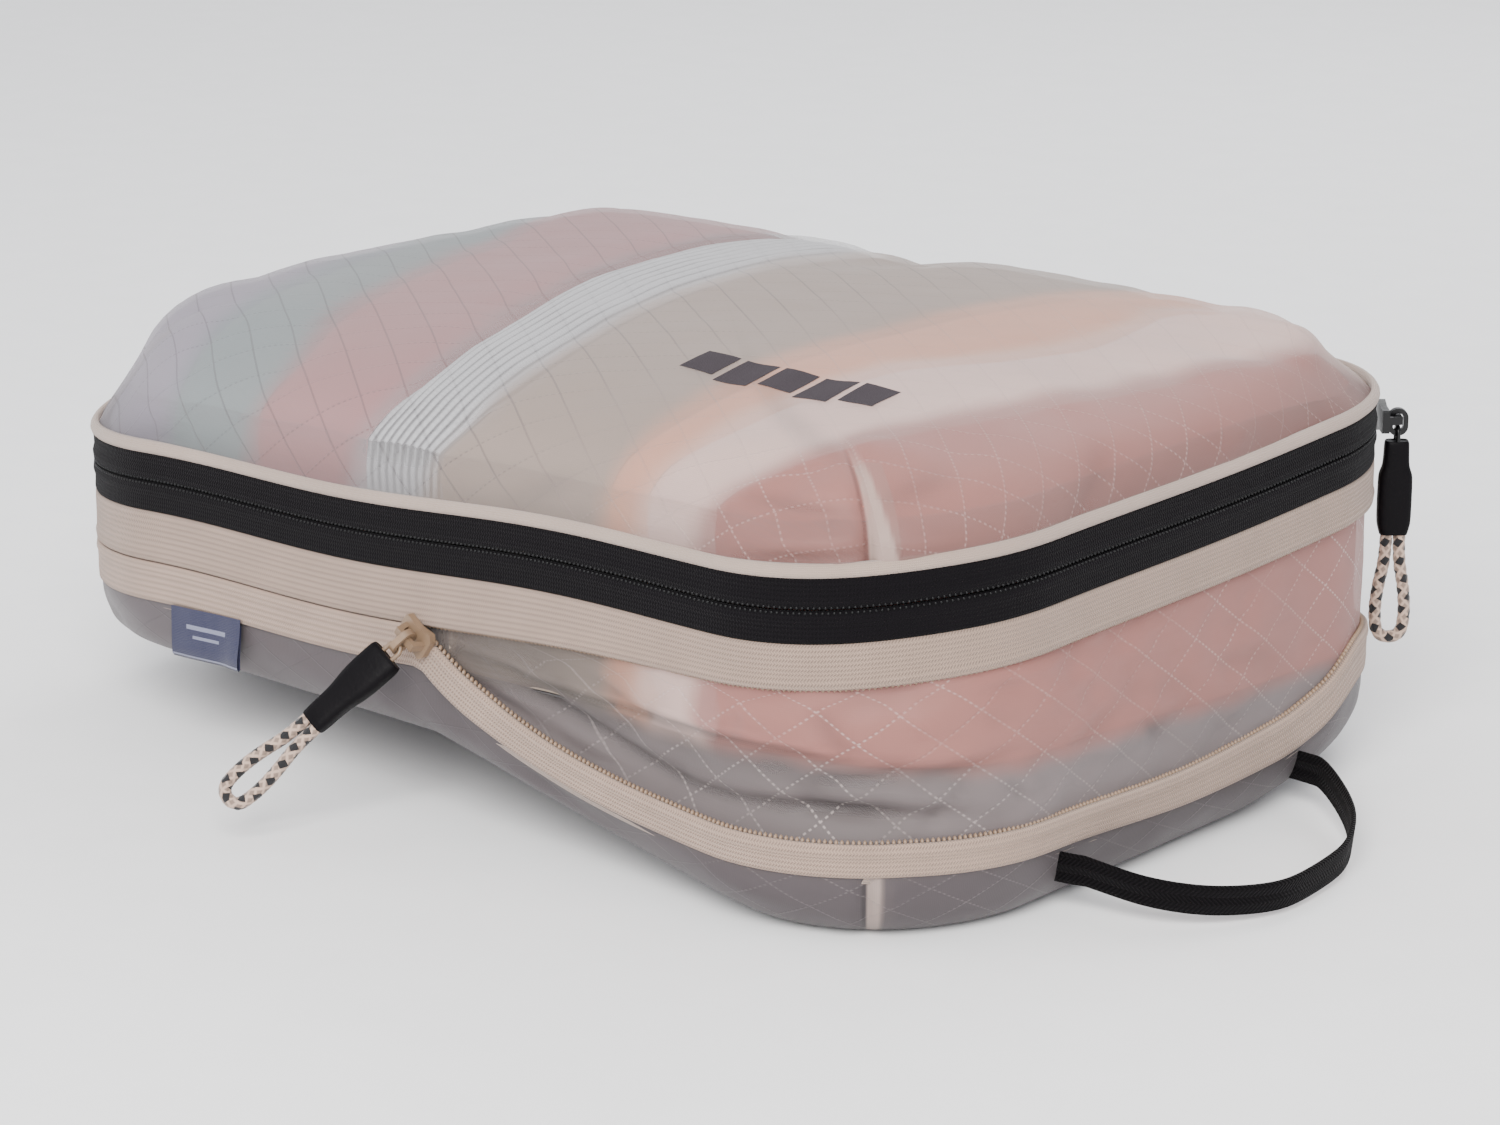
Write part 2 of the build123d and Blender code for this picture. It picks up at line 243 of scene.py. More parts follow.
def lower_top(s):
    """Upper edge of the lower cream tape."""
    x, y, _, _ = plan(s)
    closed = chain(s) - TAPE_HALF - UPPER_TAPE - SLIT
    opened = LOWER_LINE(x) + RISE_Y * (y + HALF_Y) + BACK_CORNER_RISE(y) * smoothstep(110, 170, x)
    return np.where(x < OPEN_X, closed, np.minimum(opened + sway(s) * (1 - openness(s)), closed))


def lower_bottom(s):
    """Lower edge of the lower cream tape."""
    x, y, _, _ = plan(s)
    width = 12.5 - 3.0 * smoothstep(0, 60, x) + 4.0 * smoothstep(-60, 100, y) * smoothstep(150, 184, x)
    return lower_top(s) - width


def foot_height(x, y):
    """The underside: on the floor, and lifted at the front left and a little at the back right."""
    front = LIFT_Z - LIFT_SLOPE_Y * (y - LIFT_EDGE_Y) - LIFT_SLOPE_X * np.maximum(x, 0)
    back = BACK_LIFT_SLOPE * (x - BACK_LIFT[0] + y - BACK_LIFT[1])
    lift = np.maximum(front, back)
    return 0.5 * (lift + np.sqrt(lift ** 2 + 9.0))


# ---- the lid's surface
# inset from the wall, height over the black tape, share of the seam's tilt
DOME = [(0, 0, 1.0), (2, 10, 0.8), (8, 19, 0.6), (19, 26, 0.45), (38, 31, 0.3), (75, 35, 0.2),
        (134, 36.5, 0.2)]
DOME_T = np.linspace(0, 1.2, len(DOME))
DOME_INSET, DOME_HEIGHT, DOME_SHARE = [
    smooth_curve(list(zip(DOME_T, column))) for column in zip(*DOME)]
DENSE_T = np.linspace(0, 1.2, 600)
# length of the dome's profile from the seam, at each of DENSE_T
DOME_RUN = running(np.hypot(np.diff(DOME_INSET(DENSE_T)), np.diff(DOME_HEIGHT(DENSE_T))))

# Edges between the garments, front to back, as (y, x)
EDGES = [
    [(-134, -108), (-113, -114), (-88, -124), (0, -146), (70, -160), (134, -172)],
    [(-134, -70), (-119, -71), (-82, -87), (-39, -103), (26, -124), (67, -143), (134, -160)],
    [(-134, -25), (-119, -21), (-75, -31), (-19, -51), (39, -65), (134, -70)],
    [(-134, 4), (-120, 13), (-78, 5), (-23, -13), (34, -23), (94, -33), (134, -38)],
    [(-134, 76), (-84, 72), (-36, 65), (15, 67), (72, 75), (134, 84)],
    [(-134, 89), (-106, 92), (-39, 95), (-4, 108), (30, 118), (76, 112), (134, 110)],
    [(-134, 111), (-118, 121), (-90, 133), (-46, 143), (0, 151), (45, 155), (134, 170)],
]
EDGE_LINES = [smooth_curve(edge) for edge in EDGES]
LID_CREASES = [
    (-14, 134, -6, 62, 16, -5.0), (118, -116, 150, -92, 7, 1.6), (104, -122, 128, -110, 6, -1.8),
    (132, -128, 138, -100, 5, -1.5), (150, -118, 136, -84, 9, 1.8), (166, -96, 150, -62, 6, -1.2),
    (168, 96, 120, 70, 7, 2.2), (176, 74, 140, 44, 6, -1.6), (150, 118, 118, 88, 8, -2.0),
    (168, -30, 130, -10, 10, 1.2), (170, 20, 128, 24, 8, -1.0), (-176, -60, -120, -20, 14, 1.5),
    (-150, -40, -142, 74, 20, 2.6), (-150, -118, -128, -78, 9, -1.6), (-168, -104, -140, -60, 8, 1.6),
    (-170, 60, -130, 20, 10, -1.4),
]
PINCHES = [                   # beside the near dart: along the wall from the front's middle, and height
    (162, 5, 128, 3, 2.0, -2.2), (162, 10, 132, 9, 2.4, 2.0), (162, 15, 130, 17, 2.0, -2.4),
    (162, 21, 136, 26, 2.6, 1.6), (162, 26, 140, 33, 2.6, -1.6), (168, 9, 196, 6, 3.0, 1.4),
    (168, 17, 192, 21, 2.6, -1.6), (-100, 8, -130, 5, 3.0, -1.4), (-98, 16, -126, 21, 3.0, 1.3),
    (40, 5, 62, 15, 4.0, -1.0), (90, 4, 112, 16, 4.0, 1.0), (230, 4, 252, 18, 4.0, -1.2),
    (300, 5, 320, 20, 5.0, 1.1),
]
DART_DEPTH = 2.3
DART_TOP = 33.0


def lid_relief(x, y):
    """The garments' rolls, creases and slack, as height over the dome."""
    height = 1.1 * ripple(x / 70, y / 70, 3.1) + folds(x, y, LID_CREASES)
    height += 0.35 * ripple(x / 16, y / 22, 9.7, 2)
    for line, depth in zip(EDGE_LINES, (1.2, 1.6, 1.4, 1.6, 0.8, 1.0, 0.8)):
        height -= depth * bell(x, line(y), 7.5)
    return height


def dome_place(x, y):
    """How far along the dome's profile a point of the plan lies."""
    return np.interp(np.maximum(inset_of(x, y), 0), DOME_INSET(DENSE_T), DENSE_T)


# depth, middle along the wall, half reach and height of the places where the garments leave room
SLUMPS = [(9.5, FRONT_LEFT_S - 25, 75, 32), (10, BACK_RIGHT_S, 62, 29), (8, DARTS[0], 60, 34)]


def slump(s, height):
    """How far the lid's ends fall inwards, where the garments don't fill them."""
    return sum(depth * bell(s, middle, reach, 4) * np.sin(np.pi * np.clip(height / top, 0, 1))
               for depth, middle, reach, top in SLUMPS)


def lean(s):
    """The back right corner is drawn in a little."""
    return -1.5 * bell(np.mod(s, PERIMETER), BACK_RIGHT_S, 60)


def dome_plan(s, t):
    """Where the smooth dome lies over the plan, with the wall's outward normal."""
    x0, y0, nx, ny = plan(s)
    rest = np.where(t > 1, np.clip(2 - t, 0, 1), 1)
    scale = (1 - DOME_INSET(np.minimum(t, 1)) / (x0 * nx + y0 * ny)) * rest
    return x0 * scale, y0 * scale, nx, ny


def lid_surface(s, t, lower=0.0):
    """A point of the lid: t runs from the seam, 0, over the shoulder, 1, to the middle, 2."""
    s, t = np.broadcast_arrays(np.asarray(s, float), np.asarray(t, float))
    x, y, nx, ny = dome_plan(s, t)
    height = np.where(t < 0.35, DOME_HEIGHT(np.minimum(t, 1)), DOME_HEIGHT(dome_place(x, y)))
    from_corner = from_dart(s)
    below_top = 1 - smoothstep(DART_TOP - 8, DART_TOP, height)
    dart = bell(from_corner, 0, 1.8) * below_top
    puff = 1.2 * bell(from_corner, 9, 7) * below_top
    flat = 1 - smoothstep(0.15, 0.75, t)
    out = (puff * smoothstep(0, 6, height) - dart * DART_DEPTH - lower
           + (0.5 * ripple(s / 30, height / 20, 5.2) + folds(s - FRONT_S, height, PINCHES))
           * smoothstep(0, 8, height) * (t <= 1)) * flat
    out = out + lean(s) * (1 - smoothstep(0.2, 1, t)) - slump(s, height) * (t < 1)
    z = (lid_height(x, y) + sway(s) * (1 - smoothstep(0, 0.6, t))
         - (lower + dart * DART_DEPTH) * (1 - flat))
    return points_of(x + nx * out, y + ny * out, z)


def lid_height(x, y):
    """The lid's height over a point of the plan, without the darts."""
    t = dome_place(x, y)
    return (seam_plane(x, y, DOME_SHARE(t)) + TAPE_HALF + DOME_HEIGHT(t)
            + lid_relief(x, y) * smoothstep(0, 12, inset_of(x, y)))


def inset_of(x, y):
    """Distance of a point inside the outline from the wall."""
    qx, qy = np.abs(x) - STRAIGHT_X, np.abs(y) - STRAIGHT_Y
    return CORNER - np.hypot(np.maximum(qx, 0), np.maximum(qy, 0)) - np.minimum(np.maximum(qx, qy), 0)


# ---- materials
def shade(color, share):
    """A colour made darker or lighter."""
    return [min(1, c * share) for c in color]


class Shader:
    """A procedural material. Texture coordinates are in metres: UV, or Object for solid patterns."""

    def __init__(self, name, color, roughness=0.5, sheen=(0.0, 0.5), **settings):
        self.material = bpy.data.materials.new(name)
        self.material.use_nodes = True
        self.tree = self.material.node_tree
        self.bsdf = self.tree.nodes["Principled BSDF"]
        self.color(color).rough(roughness)
        settings.update(Sheen_Weight=sheen[0], Sheen_Roughness=sheen[1])
        for socket, value in settings.items():
            self.bsdf.inputs[socket.replace("_", " ")].default_value = value

    def feed(self, socket, value):
        if isinstance(value, bpy.types.NodeSocket):
            self.tree.links.new(value, socket)
        elif isinstance(value, (tuple, list)) and len(value) == 3 and socket.type == "RGBA":
            socket.default_value = (*value, 1)
        else:
            socket.default_value = value

    def add(self, kind, *inputs, output=0, **properties):
        node = self.tree.nodes.new("ShaderNode" + kind)
        for name, value in properties.items():
            setattr(node, name, value)
        for socket, value in zip(node.inputs, inputs):
            if value is not None:
                self.feed(socket, value)
        return node.outputs[output]

    def math(self, operation, *values):
        return self.add("Math", *values, operation=operation)

    def times(self, first, second):
        return self.math("MULTIPLY", first, second)

    def plus(self, first, second):
        return self.math("ADD", first, second)

    def most(self, first, second):
        return self.math("MAXIMUM", first, second)

    def axes(self, kind="UV"):
        """The coordinates of one kind, apart."""
        return self.add("SeparateXYZ", self.add("TexCoord", output=kind)).node.outputs

    def cloud(self, scale, detail=2.0, low=0.0, high=1.0):
        """Soft noise fixed to the piece."""
        spread = self.add("TexNoise", self.add("TexCoord", output="Object"), None, scale, detail)
        return self.map(spread, 0.3, 0.7, low, high)

    def map(self, value, from_low, from_high, low=0.0, high=1.0):
        return self.add("MapRange", value, from_low, from_high, low, high)

    def mix(self, factor, first, second):
        return self.add("Mix", factor, *[None] * 5, first, second, output=2, data_type="RGBA")

    def wave(self, value, period):
        """A sine from 0 to 1 along a coordinate in metres."""
        return self.map(self.math("SINE", self.times(value, TAU / period)), -1, 1)

    def weave(self, u, v, wide, tall):
        """Crossing threads, with their two spacings."""
        return self.times(self.wave(u, wide), self.wave(v, tall))

    def line(self, value, spacing, width):
        """1 on thin lines a spacing apart, 0 between them."""
        return self.map(self.math("PINGPONG", value, spacing / 2), width, width * 0.4)

    def color(self, value):
        self.feed(self.bsdf.inputs["Base Color"], value)
        return self

    def rough(self, value):
        self.feed(self.bsdf.inputs["Roughness"], value)
        return self

    def bump(self, height, distance, strength=1.0):
        """Raises the surface by the height, and gives the finished material."""
        node = self.tree.nodes.new("ShaderNodeBump")
        node.inputs["Strength"].default_value = strength
        node.inputs["Distance"].default_value = distance
        self.feed(node.inputs["Height"], height)
        self.feed(self.bsdf.inputs["Normal"], node.outputs[0])
        return self.material


THREAD = 0.0004               # metres: half width of a ripstop thread
DOTS = 0.0018                 # metres: spacing of the dots along it


def ripstop(name, color, thread, dotted, alpha, grid, slope):
    """Thin milky fabric with a diamond grid of stronger threads. It takes its colour from what
    it touches, with painted shade and highlight mixed in: the "tint" attribute, whose alpha says how milky it
    is there."""
    shader = Shader(name, color, 0.6, (0.12, 0.5))
    base, _, _, milky = shader.add("Attribute", attribute_name="tint").node.outputs
    u, v, _ = shader.axes()
    along = shader.times(u, math.sin(math.radians(slope)))
    across = shader.times(v, math.cos(math.radians(slope)))
    p, q = shader.plus(along, across), shader.math("SUBTRACT", along, across)
    first, second = shader.line(p, grid, THREAD), shader.line(q, grid, THREAD)
    first_dots, second_dots = [shader.times(line, shader.map(shader.wave(other, DOTS), 0.35, 0.75))
                               for line, other in ((first, q), (second, p))]
    weave = shader.weave(u, v, 0.0006, 0.0006)
    cloud = shader.cloud(18, 3)
    tint = shader.mix(shader.times(cloud, 0.16), base, color)
    tint = shader.mix(shader.times(weave, 0.14), tint, shade(color, 0.4))
    # dark plain threads on the left, pale dotted ones on the right
    right = shader.map(shader.axes("Object")[0], 0.03, 0.11)
    tone = shader.mix(right, thread, dotted)
    dots = shader.most(shader.times(first_dots, right), second_dots)
    tint = shader.mix(shader.times(dots, shader.cloud(30, 1, 0.1, 0.55)), tint, tone)
    tint = shader.mix(shader.times(first, shader.map(right, 0, 1, 0.45, 0.06)), tint, tone)
    shader.color(tint).rough(shader.map(cloud, 0, 1, 0.5, 0.68))
    covered = shader.times(shader.map(cloud, 0, 1, alpha + 0.05, alpha - 0.05), milky)
    shader.feed(shader.bsdf.inputs["Alpha"], covered)
    return shader.bump(shader.plus(shader.times(weave, 0.35), shader.most(first, second)), 0.0002, 0.6)


def knit_tape(name, color, pitch=0.0009, row=0.0016):
    """Zipper tape: lengthwise knitted ridges crossed by fine ribs."""
    sheen, specular = (0.2, 0.4) if max(color) > 0.1 else (0.02, 0.12)
    shader = Shader(name, color, 0.82, (sheen, 0.4), Specular_IOR_Level=specular)
    u, v, _ = shader.axes()
    slant = shader.times(shader.math("PINGPONG", v, row / 2), 0.8)
    ribs, ridges = shader.wave(shader.plus(u, slant), pitch), shader.wave(v, row)
    loops = shader.plus(shader.times(ribs, 0.6), shader.times(ridges, 0.4))
    worn = shader.mix(shader.cloud(60, 3), color, shade(color, 1.12))
    # darker between the knitted loops, where the bump is low: painted shade in the grooves
    tint = shader.mix(shader.map(loops, 0.0, 0.6), shade(color, 0.55), worn)
    return shader.color(tint).bump(loops, 0.0004, 0.9)


def plain_cloth(name, color, dark=0.75, period=0.0007, sheen=0.3):
    """Woven or fine knitted garment cloth."""
    shader = Shader(name, color, 0.9, (sheen, 0.5))
    u, v, _ = shader.axes()
    weave = shader.weave(u, v, period, period * 1.3)
    tint = shader.mix(shader.cloud(25, 4), shade(color, 0.86), color)
    tint = shader.mix(shader.times(weave, 0.5), tint, shade(color, dark))
    return shader.color(tint).bump(weave, 0.0003, 0.7)


RIBS = 10                     # ribs across the ribbed top


def ribbed_cloth(name, color, dark):
    """Rib knit: the ribs run along the garment, as RIBS waves of the first coordinate."""
    shader = Shader(name, color, 0.9, (0.3, 0.5))
    u, v, _ = shader.axes()
    rib, stitch = shader.wave(u, 1.0 / RIBS), shader.wave(v, 0.0015)
    # dark between the ribs, where the bump is low: the dark colour is painted shade in the gaps
    tint = shader.mix(shader.map(rib, 0.1, 0.75), dark, color)
    tint = shader.mix(shader.times(stitch, 0.12), tint, dark)
    return shader.color(tint).bump(shader.plus(rib, shader.times(stitch, 0.1)), 0.0006, 0.7)


def moulded(name, color, roughness, coat=0.0, grain=0.3, specular=0.5):
    """Enamelled metal or moulded plastic: smooth, with faint unevenness and worn sheen."""
    shader = Shader(name, color, Coat_Weight=coat, Coat_Roughness=0.2, Specular_IOR_Level=specular)
    spots, wear = shader.cloud(900, 3), shader.cloud(160, 2)
    shader.color(shader.mix(wear, shade(color, 0.9), shade(color, 1.06)))
    shader.rough(shader.map(wear, 0, 1, roughness * 0.85, min(1, roughness * 1.15)))
    return shader.bump(spots, 0.0001, grain)


CORD_LAY = 0.0034             # metres: length of one braid crossing


def braided(name, color, fleck):
    """Braided cord with flecks: UV is turns round the cord and metres along it."""
    shader = Shader(name, color, 0.85, (0.2, 0.5))
    u, v, _ = shader.axes()
    turn = shader.times(v, 1 / CORD_LAY)
    strands = [shader.plus(shader.times(u, count), turn) for count in (4.0, -4.0)]
    braid = shader.most(*[shader.wave(strand, 1) for strand in strands])
    carrier = shader.math("FRACT", shader.plus(shader.times(u, 2.0), shader.times(turn, 0.5)))
    cross = shader.math("FRACT", shader.math("SUBTRACT", shader.times(turn, 0.62), u))
    marks = shader.times(shader.map(carrier, 0.44, 0.5), shader.map(cross, 0.56, 0.5))
    # darker between the strands, where the bump is low: painted shade
    tint = shader.mix(shader.map(braid, 0.45, 0.9), shade(color, 0.5), color)
    return shader.color(shader.mix(marks, tint, fleck)).bump(braid, 0.0004, 0.9)


def webbing(name, color):
    """Woven webbing with a herringbone of slanted ribs."""
    shader = Shader(name, color, 0.75, (0.02, 0.4), Specular_IOR_Level=0.08)
    u, v, _ = shader.axes()
    rib = shader.wave(shader.plus(u, shader.math("PINGPONG", v, 0.0024)), 0.0014)
    height = shader.times(rib, shader.map(shader.wave(v, 0.0012), 0, 1, 0.6, 1))
    # dark in the grooves and light on the ribs: painted shade and painted highlight
    return shader.color(shader.mix(height, shade(color, 0.35), shade(color, 1.7))).bump(height, 0.0005, 0.9)


def woven_label(name, color, mark):
    """Satin label with two plain woven bars."""
    shader = Shader(name, color, 0.55, (0.2, 0.4))
    u, v, _ = shader.axes()
    weave = shader.weave(u, v, 0.0005, 0.0005)
    bars = 0.0
    for middle, half, reach in ((0.0102, 0.0007, 0.009), (0.0072, 0.0005, 0.006)):
        across = shader.math("COMPARE", v, middle, half)
        bars = shader.most(bars, shader.times(across, shader.math("COMPARE", u, 0.016, reach)))
    edge = shader.math("COMPARE", v, 0.0008, 0.0003)
    tint = shader.mix(shader.times(weave, 0.5), color, shade(color, 0.6))
    tint = shader.mix(shader.times(shader.most(bars, edge), 0.85), tint, mark)
    return shader.color(tint).bump(weave, 0.0002, 0.6)


CREAM = (0.355, 0.25, 0.195)
PLASTIC = (0.003, 0.003, 0.0035)
DARK_THREAD = (0.10, 0.08, 0.085)
LOOKS = {name: make(name, *values) for name, make, *values in [
    ("milky_ripstop", ripstop, (0.44, 0.37, 0.35), DARK_THREAD, (0.50, 0.36, 0.33), 0.68, 0.0132, 36),
    ("gusset_ripstop", ripstop, (0.28, 0.235, 0.225), DARK_THREAD, (0.62, 0.53, 0.50), 0.72, 0.0134, 36),
    ("shell_ripstop", ripstop, (0.085, 0.068, 0.072), (0.05, 0.04, 0.045), (0.20, 0.17, 0.17), 0.88,
     0.0140, 38),
    ("black_zip_tape", knit_tape, (0.0022, 0.0014, 0.0024), 0.0010, 0.0013),
    ("black_coil", moulded, PLASTIC, 0.35, 0.0, 0.3, 0.25),
    ("cream_zip_tape", knit_tape, CREAM),
    # the upper cream tape: the same cream made darker, painted shade
    ("upper_zip_tape", knit_tape, shade(CREAM, 0.87)),
    ("cream_coil", moulded, (0.27, 0.18, 0.12), 0.45),
    ("cream_binding", plain_cloth, (0.37, 0.275, 0.225), 0.85, 0.0005),
    ("black_slider", moulded, PLASTIC, 0.35, 0.1, 0.3, 0.25),
    ("cream_slider", moulded, (0.20, 0.13, 0.08), 0.35, 0.15),
    ("black_grip", moulded, (0.0030, 0.0024, 0.0032), 0.5, 0.0, 0.5, 0.08),
    ("flecked_cord", braided, (0.46, 0.33, 0.26), (0.004, 0.0035, 0.005)),
    ("black_webbing", webbing, (0.0030, 0.0023, 0.0030)),
    ("blue_label", woven_label, (0.0019, 0.0034, 0.041), (0.20, 0.21, 0.30)),
    ("print", plain_cloth, (0.022, 0.013, 0.019), 0.9, 0.0006, 0.0),
    ("lavender_cloth", plain_cloth, (0.25, 0.24, 0.36)),
    ("mint_cloth", plain_cloth, (0.20, 0.29, 0.29)),
    ("pink_cloth", plain_cloth, (0.37, 0.12, 0.11), 0.8, 0.0012),
    ("rose_cloth", plain_cloth, (0.46, 0.125, 0.09), 0.8, 0.0012),
    # the second colour is the painted shade between the ribs
    ("white_cloth", ribbed_cloth, (0.60, 0.60, 0.62), (0.05, 0.05, 0.052)),
    ("pale_cloth", plain_cloth, (0.72, 0.60, 0.57)),
    ("taupe_cloth", plain_cloth, (0.29, 0.225, 0.175)),
    ("peach_cloth", plain_cloth, (0.68, 0.30, 0.15)),
    ("grey_cloth", plain_cloth, (0.095, 0.085, 0.09)),
]}


# ---- meshes
def make_piece(name, body, slot, points, quads, quad_uv, caps=(), look=None, replaces=None):
    """A mesh piece from points in millimetres; quad_uv is four corners for each quad. It replaces
    the CAD node of its own name if no others are given. A piece with no body is left unattached."""
    if replaces is None:
        replaces = [name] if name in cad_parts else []
    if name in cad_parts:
        name += "_piece"
    mesh = bpy.data.meshes.new(name)
    places = np.reshape(points, (-1, 3)) * MM
    mesh.from_pydata(places.tolist(), [], [*map(tuple, quads), *map(tuple, caps)])
    uv = np.zeros((len(mesh.loops), 2))
    uv[:4 * len(quads)] = np.reshape(quad_uv, (-1, 2)) * MM
    mesh.uv_layers.new(name="UVMap").data.foreach_set("uv", uv.ravel())
    mesh.polygons.foreach_set("use_smooth", [True] * len(mesh.polygons))
    mesh.materials.append(LOOKS[look or slot])
    piece = bpy.data.objects.new(name, mesh)
    bpy.context.scene.collection.objects.link(piece)
    if body:
        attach(piece, body)
    if replaces:
        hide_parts(*replaces)
    return piece


def end_caps(width, rows):
    """The two faces that close a tube of so many rows of so many points."""
    return list(range(width - 1, -1, -1)), list(range((rows - 1) * width, rows * width))


def grid_quads(rows, columns, wrap_rows=False, wrap_columns=False, flip=False):
    """Corner indices of a grid's quads, and their unwrapped row and column."""
    i, j = np.indices((rows - (not wrap_rows), columns - (not wrap_columns)))
    corners = [(i, j), (i + 1, j), (i + 1, j + 1), (i, j + 1)]
    if flip:
        corners.reverse()
    quads = np.stack([(a % rows) * columns + b % columns for a, b in corners], -1).reshape(-1, 4)
    spots = np.stack([points_of(a, b) for a, b in corners], -2).reshape(-1, 4, 2)
    return quads, spots


def wall_piece(name, body, slot, path, section, closed=True, ring=False, **extra):
    """A strip along the wall. section(s) is a row of (z, out) for each station of the path;
    closed joins its last point to its first, ring joins the path's ends."""
    rows = section(path)
    along = path
    if ring:
        rows, path = rows[:-1], path[:-1]
        along = np.append(path, path[0] + PERIMETER)
    x, y, nx, ny = [c[:, None] for c in plan(path)]
    z, out = rows[..., 0], rows[..., 1] + lean(path)[:, None]
    count, width = z.shape
    quads, spots = grid_quads(count, width, ring, closed, flip=True)
    if closed:
        travel = np.hypot(np.diff(z, axis=1, append=z[:, :1]), np.diff(out, axis=1, append=out[:, :1]))
        height = running(travel.mean(axis=0))[spots[..., 1]]
    else:
        # fabric let out where the bag expands, more towards -X
        share = np.clip((z - seam_plane(x, y) + SLIT_DROP) / (2 * BLEND_HALF) + 0.5, 0, 1)
        height = (z + (HALF_X - x) * EXPAND_SLOPE * share)[spots[..., 0] % count, spots[..., 1] % width]
    uv = points_of(along[spots[..., 0]], height)
    caps = end_caps(width, count) if closed and not ring else ()
    return make_piece(name, body, slot, points_of(x + nx * out, y + ny * out, z), quads, uv, caps, **extra)


def strip_section(low, high, outline):
    """A closed section between two heights: outline is (share of the height, mm over it, out)."""
    def section(s):
        bottom, top = low(s)[:, None], high(s)[:, None]
        share, extra, out = np.array(outline, float).T
        return points_of(bottom + (top - bottom) * share + extra, out)
    return section


# ---- zippers
TAPE_OUTLINE = [(0, 0, -1.1), (0, 0, -0.3), (0, 0.5, 0.05), (0.2, 0, 0.15), (0.4, 0, 0.1), (0.5, 0, 0.1),
                (0.6, 0, 0.1), (0.8, 0, 0.15), (1, -0.5, 0.05), (1, 0, -0.3), (1, 0, -1.1), (0.5, 0, -1.1)]
CHAIN_OUTLINE = [(0, 0, -1.1), (0, 0, -0.9), (0, 0.35, -0.2), (0, 1.4, 0.35), (0, 2.6, 0.5), (0, 3.7, 0.25),
                 (0, 4.6, 0.0), (0.75, 0, 0.05), (1, -0.9, 0.15), (1, -0.2, -0.1), (1, 0, -1.1),
                 (0.5, 0, -1.1)]
EDGE_OUTLINE = [(0, 0, -1.1), (0, 0, -0.3), (0, 0.5, 0.3), (0, 2.4, 0.55), (0, 3.4, 0.2), (0.5, 0, 0.1),
                (0.8, 0, 0.15), (1, -0.5, 0.05), (1, 0, -0.3), (1, 0, -1.1), (0.5, 0, -1.1)]


def flipped(outline):
    return [(1 - share, -extra, out) for share, extra, out in reversed(outline)]


def off_chain(offset):
    """A height along the wall, measured from the black zipper's teeth."""
    return lambda s: chain(s) + offset


def coil_teeth(name, body, slot, path, height, out, size):
    """A row of rounded teeth along the wall: size is their half width, half depth and half height."""
    form = bmesh.new()
    bmesh.ops.create_icosphere(form, subdivisions=1, radius=1.0)
    shape = np.array([v.co for v in form.verts])
    faces = np.array([[v.index for v in f.verts] for f in form.faces])
    form.free()
    x, y, nx, ny = [c[:, None] for c in plan(path)]
    out = out + lean(path)[:, None]
    along, deep, high = (shape * size).T
    points = points_of(x + nx * (out + deep) - ny * along, y + ny * (out + deep) + nx * along,
                       height(path)[:, None] + high)
    triangles = (faces[None] + (np.arange(len(path)) * len(shape))[:, None, None]).reshape(-1, 3)
    make_piece(name, body, slot, points, np.zeros((0, 4), int), np.zeros((0, 4, 2)), triangles)


TOOTH = 1.6                   # pitch of the teeth


def make_main_zipper():
    front = stations(ZIP_END_S, PERIMETER - ZIP_END_S)
    back = np.concatenate([stations(PERIMETER - ZIP_END_S + 0.3, PERIMETER)[:-1],
                           PERIMETER + stations(0, ZIP_END_S - 0.3)])
    over = off_chain(0.15), off_chain(TAPE_HALF)
    under = off_chain(-TAPE_HALF), off_chain(-0.15)
    for name, body, slot, path, heights, outline in (
            ("main_zip_upper_tape", "lid", "black_zip_tape", front, over, CHAIN_OUTLINE),
            ("main_zip_lower_tape", "middle_band", "black_zip_tape", front, under, flipped(CHAIN_OUTLINE)),
            ("lid_back_strip", "lid", "cream_binding", back, over, TAPE_OUTLINE),
            ("band_back_strip", "middle_band", "cream_binding", back, under, TAPE_OUTLINE)):
        wall_piece(name, body, slot, path, strip_section(*heights, outline))
    teeth = np.arange(ZIP_END_S + 2, PERIMETER - ZIP_END_S - 2, TOOTH)
    for name, body, side in (("main_zip_upper_coil", "lid", 1), ("main_zip_lower_coil", "middle_band", -1)):
        path = teeth + side * TOOTH / 4
        coil_teeth(name, body, "black_coil", path, off_chain(side * 1.3), -2.2, (0.62, 1.1, 1.15))
        coil_teeth(name + "_edge", body, "black_coil", path, off_chain(side * 0.75), -0.15, (0.5, 0.5, 0.55))
    tab = strip_section(off_chain(0.5 - TAPE_HALF), off_chain(-0.8),
                        [(0, 0, -1.9), (0, 0, -1.4), (1, 0, -1.4), (1, 0, -1.9)])
    for name, turn in (("left_zip_end_tab", ZIP_END_S + 1.5),
                       ("right_zip_end_tab", PERIMETER - ZIP_END_S - 1.5)):
        wall_piece(name, "middle_band", "black_zip_tape", stations(turn - 3, turn + 3, 2), tab,
                   replaces=["main_zip_end_tabs"])


